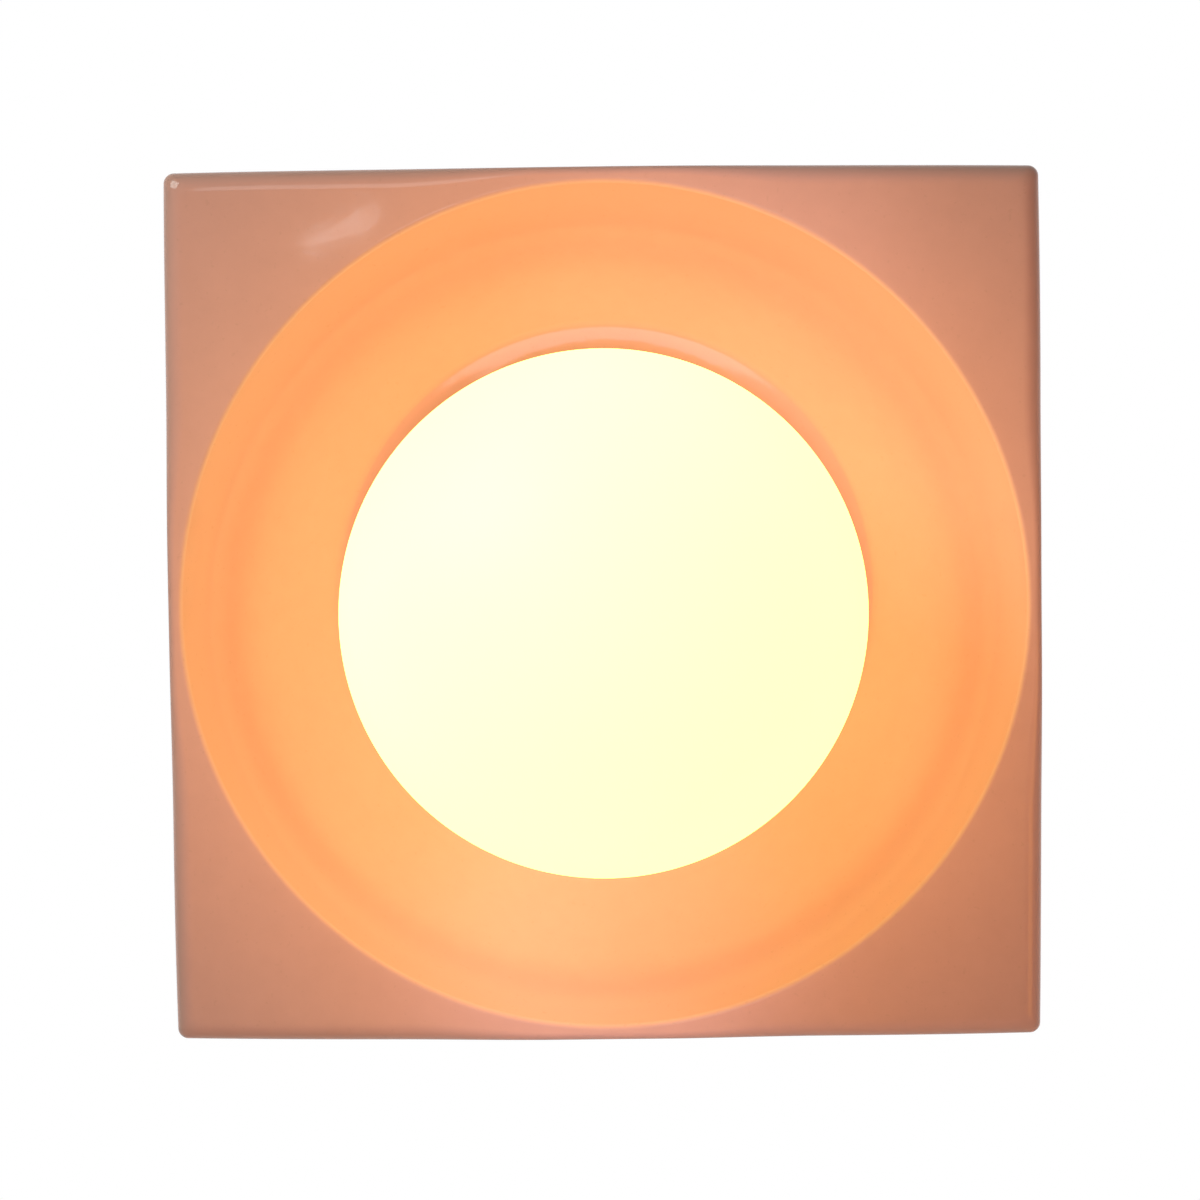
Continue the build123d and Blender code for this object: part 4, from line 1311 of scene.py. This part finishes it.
@dataclass(frozen=True)
class WallSide:
    """Plate, gasket, grommet, studs and nuts, which hold the block to the wall.

    Attributes:
        stud_x: How far each stud lies from the axis.
        stud_r: Radius of a stud.
        stud_head_r: Radius of the stud's pressed head.
        stud_head: Height of that head.
        stud_thread: Length of the thread at the stud's end.
        stud_pitch: Pitch of that thread.
        stud_depth: Depth of that thread.
        stud_chamfer: Chamfer at the stud's end.
        stud_rows: Rows for one turn of the thread.
        stud_columns: Columns round a stud.
        gasket_width: Width of the foam ring.
        gasket_bulge: How far the foam swells past its cut edge.
        gasket_rows: Rows over a cut edge.
        plate: Thickness of the wall plate.
        grommet_waist_r: Radius of the grommet in the plate's hole.
        grommet_bore_r: Radius of its bore.
        grommet_soft: Radius of its lip's edges.
        grommet_rounds: Radii of its other edges: at the wall by the bore, by the waist, and on the plate.
        grommet_columns: Columns round the grommet.
    """

    stud_x: float = 46 * MM
    stud_r: float = 2.5 * MM
    stud_head_r: float = 4 * MM
    stud_head: float = 0.9 * MM
    stud_thread: float = 40 * MM
    stud_pitch: float = 0.8 * MM
    stud_depth: float = 0.24 * MM
    stud_chamfer: float = 0.6 * MM
    stud_rows: int = 8
    stud_columns: int = 24
    gasket_width: float = 5 * MM
    gasket_bulge: float = 0.5 * MM
    gasket_rows: int = 9
    plate: float = 2 * MM
    grommet_waist_r: float = 7.9 * MM
    grommet_bore_r: float = 4.5 * MM
    grommet_soft: float = 0.9 * MM
    grommet_rounds: tuple[float, float, float] = (0.4 * MM, 0.2 * MM, 0.3 * MM)
    grommet_columns: int = 72

    def build(self) -> None:
        """Builds the studs, the gasket and the grommet, and dresses the rest."""
        studs = [self.stud() + np.array([side * self.stud_x, 0, 0]) for side in BOTH_SIDES]
        piece = surface("threaded_studs", studs, Wrap.AROUND, THREAD_SMOOTH_TURN)
        mount(piece, FIXTURE, Finishes.zinc, "body_studs")
        self.gasket()
        self.grommet()
        dress({
            "wall_plate": Finishes.zinc,
            "floor_seal_washers": Finishes.fibre,
            "floor_washers": Finishes.paint,
            "sleeve_nuts": Finishes.paint,
        })

    def stud(self) -> np.ndarray:
        """Stud with a flush head in the plate and a thread at its far end.

        Returns:
            Grid of points, with the stud on the Y axis.
        """
        length = Extent.of("body_studs").front
        columns = self.stud_columns
        start = length - self.stud_thread
        ends = (length, length + self.stud_pitch)
        thread = Thread(self.stud_pitch, self.stud_depth, (start, start + self.stud_pitch), ends)
        rows = int(self.stud_rows * self.stud_thread / self.stud_pitch)
        out = between(start, length - self.stud_chamfer, rows)
        angle = circle(columns)
        head = [
            (0, 0),
            (self.stud_head_r, 0),
            (self.stud_head_r, self.stud_head),
            (self.stud_r, self.stud_head),
            (self.stud_r, start),
        ]
        end = [(self.stud_r - self.stud_chamfer, length), (0, length)]
        run = around(self.stud_r - thread.groove(out, angle), out, angle)
        return np.concatenate([turned(np.array(head), columns), run, turned(np.array(end), columns)])

    def gasket(self) -> None:
        """Builds the foam ring: a square band whose cut edges swell as a half sine between its flat faces."""
        foam = Extent.of("wall_gasket")
        block = CeramicBlock()
        bulge = self.gasket_bulge / foam.half
        hidden = bulge * (1 - np.sin(between(0, pi, self.gasket_rows)))[..., None]
        outside = block.outline(foam.half, block.corner_round) * (1 - hidden)
        inside = block.outline(foam.half - self.gasket_width, block.hollow_round) * (1 + hidden)
        across, up = np.moveaxis(np.concatenate([outside, inside[::-1]]), -1, 0)
        out = between(0.0, foam.front, self.gasket_rows)
        out = np.broadcast_to(np.concatenate([out, out[::-1]]), across.shape)
        grid = np.stack([across, -out, up], axis=-1)
        mount(surface("foam_gasket", [grid], Wrap.RING), FIXTURE, Finishes.foam, "wall_gasket")

    def grommet(self) -> None:
        """Builds the rubber grommet, with a rounded lip, in the plate's cable hole."""
        low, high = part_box("cable_grommet")
        lip_r, lip_out, _ = Extent.of("cable_grommet")
        bore_round, waist_round, plate_round = self.grommet_rounds
        ring = rounded([
            (self.grommet_bore_r, 0, bore_round),
            (self.grommet_waist_r, 0, waist_round),
            (self.grommet_waist_r, self.plate, 0),
            (lip_r, self.plate, plate_round),
            (lip_r, lip_out, self.grommet_soft),
            (self.grommet_bore_r, lip_out, self.grommet_soft),
        ])
        centre = (0.0, (low.z + high.z) / 2)
        piece = surface("rubber_grommet", [turned(ring, self.grommet_columns, centre)], Wrap.RING)
        mount(piece, FIXTURE, Finishes.rubber, "cable_grommet")


@dataclass(frozen=True)
class Lead:
    """Insulated lead between two terminals.

    Attributes:
        name: Name of its piece.
        node: Node that it stands for.
        finish: Its insulation.
        route: Points, in millimetres, that pull its line towards them.
        radius: Radius of the insulation.
        columns: Columns round the lead.
        steps: Rows for each span of its line.
    """

    ROUND = "round_the_lead"
    SIDEWAYS = (0.9, 0.1, 0.42)  # A direction that no lead runs along

    name: str
    node: str
    finish: Finish
    route: tuple[Point, ...]
    radius: float = 1.1 * MM
    columns: int = 20
    steps: int = 16

    def line(self) -> np.ndarray:
        """Quadratic spline that starts and ends on the route's ends, and is pulled towards its other points.

        Returns:
            Points along the line, in metres.
        """
        route = np.array(self.route) * MM
        curve = bpy.data.curves.new(self.name, "CURVE")
        curve.dimensions = "3D"
        curve.resolution_u = self.steps
        spline = curve.splines.new("NURBS")
        spline.points.add(len(route) - 1)
        spline.points.foreach_set("co", np.hstack([route, np.ones((len(route), 1))]).ravel())
        spline.order_u = 3
        spline.use_endpoint_u = True
        line = stand(self.name, curve)
        bpy.context.view_layer.update()
        path = bpy.data.meshes.new_from_object(line)
        points = np.empty(len(path.vertices) * 3)
        path.vertices.foreach_get("co", points)
        bpy.data.objects.remove(line)
        bpy.data.curves.remove(curve)
        bpy.data.meshes.remove(path)
        return points.reshape(-1, 3)

    def build(self) -> None:
        """Builds the lead: a circle carried along its line, closed at both ends."""
        middle = self.line()
        along = unit(np.gradient(middle, axis=0))
        side = unit(np.cross(along, self.SIDEWAYS))
        other = np.cross(along, side)
        angle = circle(self.columns)
        ring = side[:, None] * np.cos(angle)[:, None] + other[:, None] * np.sin(angle)[:, None]
        tube = middle[:, None] + self.radius * ring
        first, last = (np.broadcast_to(point, tube[:1].shape) for point in (middle[0], middle[-1]))
        grid = np.concatenate([first, tube, last])
        turn = np.broadcast_to(angle / tau, grid.shape[:2])
        piece = surface(self.name, [grid], Wrap.AROUND, attributes={self.ROUND: turn})
        mount(piece, FIXTURE, self.finish, self.node)


@dataclass(frozen=True)
class Wiring:
    """Connector block, its screws, the earth point and the three leads.

    Attributes:
        pole_x: Place of the connector's poles, across.
        block_z: Height of the connector's middle.
        tower_z: How far each clamp screw lies above or below that middle.
        earth: Place of the earth screw, across and up.
        clamp_screw: Clamp screw of the connector.
        fixing_screw: Screw that holds the connector to the plate.
        earth_screw: Screw of the earth point.
    """

    LEADS = (
        Lead(
            "brown_lead",
            "live_lead",
            Finishes.brown,
            (
                (-44, -6.3, -33.5),
                (-44, -6.3, -18.5),
                (-34, -36, -3.5),
                (-26, -65.5, 14),
                (0, -83.5, 17),
                (0, -96.5, 17),
            ),
        ),
        Lead(
            "striped_lead",
            "earth_lead",
            Finishes.green,
            (
                (-34, -6.3, -33.5),
                (-34, -6.3, -22.5),
                (-33, -16, -9.5),
                (-33, -16, 10.5),
                (-34, -3.7, 20.5),
                (-34, -3.7, 27.5),
            ),
        ),
        Lead(
            "blue_lead",
            "neutral_lead",
            Finishes.blue,
            (
                (-24, -6.3, -33.5),
                (-24, -6.3, -25.5),
                (-24, -16, -17.5),
                (-24, -45, -18),
                (0, -69.5, -17),
                (0, -96.5, -17),
            ),
        ),
    )

    pole_x: tuple[float, ...] = (-44 * MM, -34 * MM, -24 * MM)
    block_z: float = -40 * MM
    tower_z: float = 4.2 * MM
    earth: Pair = (-34 * MM, 40 * MM)
    clamp_screw: Screw = Screw(1.3 * MM, 2.9 * MM, head_r=1.9 * MM, head=1.6 * MM, recess=Recess.SLOT)
    fixing_screw: Screw = Screw(1.5 * MM, 10.3 * MM, head_r=2.7 * MM, head=2 * MM, recess=Recess.CROSS)
    earth_screw: Screw = Screw(2 * MM, 2.7 * MM, head_r=3.8 * MM, head=2.6 * MM, recess=Recess.CROSS)

    def build(self) -> None:
        """Builds the leads and the screws, and dresses the rest."""
        for lead in self.LEADS:
            lead.build()
        self.screws()
        dress({
            "terminal_block": Finishes.nylon,
            "block_barrels": Finishes.brass,
            "earth_lug": Finishes.brass,
        })

    def screws(self) -> None:
        """Builds the connector's clamp screws, its fixing screw and the earth screw."""
        clamp_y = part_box("block_screws")[0].y + self.clamp_screw.head
        tower_z = [self.block_z + side * self.tower_z for side in BOTH_SIDES]
        clamps = [(Facing.ROOM, (x, clamp_y, z)) for x in self.pole_x for z in tower_z]
        self.clamp_screw.fasten("connector_screws", "block_screws", Finishes.zinc, clamps)
        low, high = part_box("block_fixing_screw")
        fixing = (Facing.ROOM, ((low.x + high.x) / 2, low.y + self.fixing_screw.head, self.block_z))
        self.fixing_screw.fasten("connector_fixing_screw", "block_fixing_screw", Finishes.zinc, [fixing])
        earth_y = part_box("earth_screw")[0].y + self.earth_screw.head
        earth = (Facing.ROOM, (self.earth[0], earth_y, self.earth[1]))
        self.earth_screw.fasten("earth_point_screw", "earth_screw", Finishes.zinc, [earth])


# Stage


def aimed(place: Point, target: Point, turn: float) -> Matrix:
    """Where a light or a camera stands when it looks at a target.

    Args:
        place: Where it stands.
        target: What it looks at.
        turn: Its turn about its own line of sight, in degrees.

    Returns:
        Its transform.
    """
    sight = Vector(target) - Vector(place)
    look = sight.to_track_quat("-Z", "Y").to_matrix().to_4x4()
    return Matrix.Translation(place) @ look @ Matrix.Rotation(radians(turn), 4, "Z")


@dataclass(frozen=True)
class StageLight:
    """Light of the stage that looks at a point.

    Attributes:
        name: Its name.
        place: Where it hangs.
        watts: Its power.
        color: Its colour.
        target: What it looks at.
        turn: Its turn about its own line of sight, in degrees.
        glints: Whether it shows in reflections.
    """

    name: str
    place: Point
    watts: float
    color: Rgb = WHITE
    target: Point = (0.0, -0.12, 0.0)
    turn: float = 0.0
    glints: bool = True

    def hang(self, lamp: bpy.types.Light) -> None:
        """Hangs the light.

        Args:
            lamp: Light data of this light's shape.
        """
        lamp.energy = self.watts
        lamp.color = self.color
        light = stand(self.name, lamp)
        light.visible_glossy = self.glints
        light.matrix_world = aimed(self.place, self.target, self.turn)


@dataclass(frozen=True)
class SoftLight(StageLight):
    """Flat light.

    Attributes:
        size: Its width and height.
    """

    size: Pair = (0.3, 0.3)

    def build(self) -> None:
        """Hangs a rectangle of light."""
        lamp = bpy.data.lights.new(self.name, "AREA")
        lamp.shape = "RECTANGLE"
        lamp.size, lamp.size_y = self.size
        self.hang(lamp)


@dataclass(frozen=True)
class GlowLight(StageLight):
    """Light that fades out away from its target, as a glow does, and leaves no highlight.

    Attributes:
        cone: Angle over which it fades out, in degrees.
        softness: Radius of its source.
    """

    glints: bool = False
    cone: float = 10.0
    softness: float = 0.02

    def build(self) -> None:
        """Hangs a soft-edged cone of light."""
        lamp = bpy.data.lights.new(self.name, "SPOT")
        lamp.spot_size = radians(self.cone)
        lamp.spot_blend = 1.0
        lamp.shadow_soft_size = self.softness
        self.hang(lamp)


@dataclass(frozen=True)
class Studio:
    """Pale floor, soft lights and a white surround.

    Attributes:
        floor_drop: How far the floor lies below the block.
        floor_rings: Radii of the floor's rings of points.
        floor_columns: Columns round the floor.
        floor_color: Colour of the floor.
        merge_from: Distance at which the floor starts to merge with the surround.
        merge_to: Distance at which it has merged.
        merge_least: Share of the surround's white near the object.
        ambient: Level of the surround's light on the object.
    """

    DAYLIGHT = (0.89, 1.0, 0.96)
    FIRELIGHT = (1.0, 0.37, 0.05)
    LAMPLIGHT = (1.0, 0.65, 0.335)
    SKYLIGHT = (0.5, 0.63, 1.0)
    LIGHTS = (
        SoftLight("cool_key", (-0.42, -0.5, 0.42), watts=2.15, color=DAYLIGHT),
        SoftLight("warm_fill", (0.5, -0.6, -0.2), watts=0.87, color=FIRELIGHT),
        SoftLight("rear_left_light", (-1.1, 1.2, 0.6), watts=18.0, glints=False, size=(0.9, 0.9)),
        SoftLight("rear_right_light", (1.1, 1.2, 0.6), watts=18.0, glints=False, size=(0.9, 0.9)),
        SoftLight("window_pane", (-0.13, -1.2, 0.098), watts=0.0048, turn=27.0, size=(0.036, 0.004)),
        SoftLight("high_pane", (-0.14, -1.2, 0.41), watts=0.39, size=(0.134, 0.39)),
        SoftLight("low_pane", (-0.01, -1.2, 0.03), watts=0.119, size=(0.12, 0.07)),
        GlowLight(
            "lamp_glow",
            (0.0, -1.2, 0.0),
            watts=40.0,
            color=LAMPLIGHT,
            target=(0.0, 0.0, 0.0),
            cone=16.2,
            softness=0.08,
        ),
        GlowLight(
            "low_glow",
            (0.0, -1.2, -0.02),
            watts=18.0,
            color=SKYLIGHT,
            target=(0.0, -0.185, -0.085),
            cone=6.0,
        ),
        GlowLight(
            "high_glow",
            (0.0, -1.2, 0.077),
            watts=9.0,
            color=SKYLIGHT,
            target=(0.025, -0.165, 0.075),
            cone=7.0,
        ),
    )

    floor_drop: float = 0.2
    floor_rings: tuple[float, ...] = (0.0, 0.2, 0.4, 0.8, 1.6, 3.0)
    floor_columns: int = 96
    floor_color: Rgb = (0.86, 0.86, 0.86)
    merge_from: float = 0.2
    merge_to: float = 0.5
    merge_least: float = 0.25
    ambient: float = 0.05

    def build(self) -> None:
        """Builds the floor, the surround and the lights."""
        self.floor()
        self.surround()
        for light in self.LIGHTS:
            light.build()

    @staticmethod
    def white_to_eye(sheet: Sheet) -> Socket:
        """Whether a ray comes from the camera, a reflection or a clear piece.

        Args:
            sheet: Tree of a stage material or the world.

        Returns:
            The socket that holds 1 or 0.
        """
        ray = sheet.add("ShaderNodeLightPath").outputs
        seen = sheet.math("MAXIMUM", ray["Is Camera Ray"], ray["Is Glossy Ray"])
        return sheet.math("MAXIMUM", seen, ray["Is Transmission Ray"])

    def floor(self) -> None:
        """Builds the floor, a flat disc of rings of points."""
        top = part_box("ceramic_body")[0].z - self.floor_drop
        radius = np.array(self.floor_rings)[:, None]
        angle = circle(self.floor_columns)
        disc = np.broadcast_arrays(radius * np.cos(angle), radius * np.sin(angle), top)
        piece = surface("pale_floor", [np.stack(disc, axis=-1)], Wrap.AROUND)
        piece.data.materials.append(self.floor_paint())

    def floor_paint(self) -> bpy.types.Material:
        """Paint that is clear from below and merges with the white surround away from the object.

        Returns:
            The material.
        """
        material = bpy.data.materials.new("pale_floor")
        material.use_nodes = True
        sheet = Sheet(material.node_tree)
        flat = sheet.scaled(sheet.place(), (1.0, 1.0, 0.0))
        reach = sheet.add("ShaderNodeVectorMath", {0: flat}, operation="LENGTH").outputs["Value"]
        merged = sheet.spread(reach, (self.merge_from, self.merge_to, self.merge_least, 1.0))
        share = sheet.times(merged, self.white_to_eye(sheet))
        paint = sheet.add("ShaderNodeBsdfDiffuse", {"Color": rgba(self.floor_color)}).outputs[0]
        white = sheet.add("ShaderNodeEmission", {"Color": rgba(WHITE), "Strength": 1.0}).outputs[0]
        mixed = sheet.add("ShaderNodeMixShader", {0: share, 1: paint, 2: white}).outputs[0]
        clear = sheet.add("ShaderNodeBsdfTransparent").outputs[0]
        from_above = sheet.add("ShaderNodeNewGeometry").outputs["Backfacing"]  # The disc's faces look down
        shown = sheet.add("ShaderNodeMixShader", {0: from_above, 1: clear, 2: mixed}).outputs[0]
        sheet.add("ShaderNodeOutputMaterial", {"Surface": shown})
        return material

    def surround(self) -> None:
        """Makes the world white to the eye, and a plain soft light to the object."""
        world = bpy.data.worlds.new("white_surround")
        world.use_nodes = True
        sheet = Sheet(world.node_tree)
        strength = sheet.spread(self.white_to_eye(sheet), (0.0, 1.0, self.ambient, 1.0))
        light = sheet.add("ShaderNodeBackground", {"Color": rgba(WHITE), "Strength": strength})
        sheet.add("ShaderNodeOutputWorld", {"Surface": light.outputs[0]})
        bpy.context.scene.world = world


@dataclass(frozen=True)
class View:
    """Camera at the photograph's viewing angle.

    Attributes:
        place: Where the camera stands.
        aim: Point in the middle of its image.
        roll: Its turn about its own line of sight, in degrees.
        frame_height: Height that its image takes in at the face of the block.
        sensor: Width of its sensor, in millimetres.
    """

    place: Point = (0.0106, -1.2, 0.077)
    aim: Point = (-0.001, -0.203, 0.0016)
    roll: float = -0.55
    frame_height: float = 0.2773
    sensor: float = 36.0

    def build(self) -> None:
        """Sets up the camera."""
        camera = bpy.data.cameras.new("camera")
        camera.sensor_fit = "HORIZONTAL"
        camera.sensor_width = self.sensor
        camera.lens = self.sensor * (Vector(self.aim) - Vector(self.place)).length / self.frame_height
        piece = stand("camera", camera)
        piece.matrix_world = aimed(self.place, self.aim, self.roll)
        bpy.context.scene.camera = piece


def main() -> None:
    """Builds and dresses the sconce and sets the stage."""
    logging.basicConfig(level=logging.INFO)
    bpy.context.scene.view_settings.view_transform = "Standard"
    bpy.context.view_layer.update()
    for part in (CeramicBlock(), Lamp(), Holder(), WallSide(), Wiring(), Studio(), View()):
        part.build()
        log.info("%s is built", type(part).__name__)


if __name__ == "__main__":
    main()
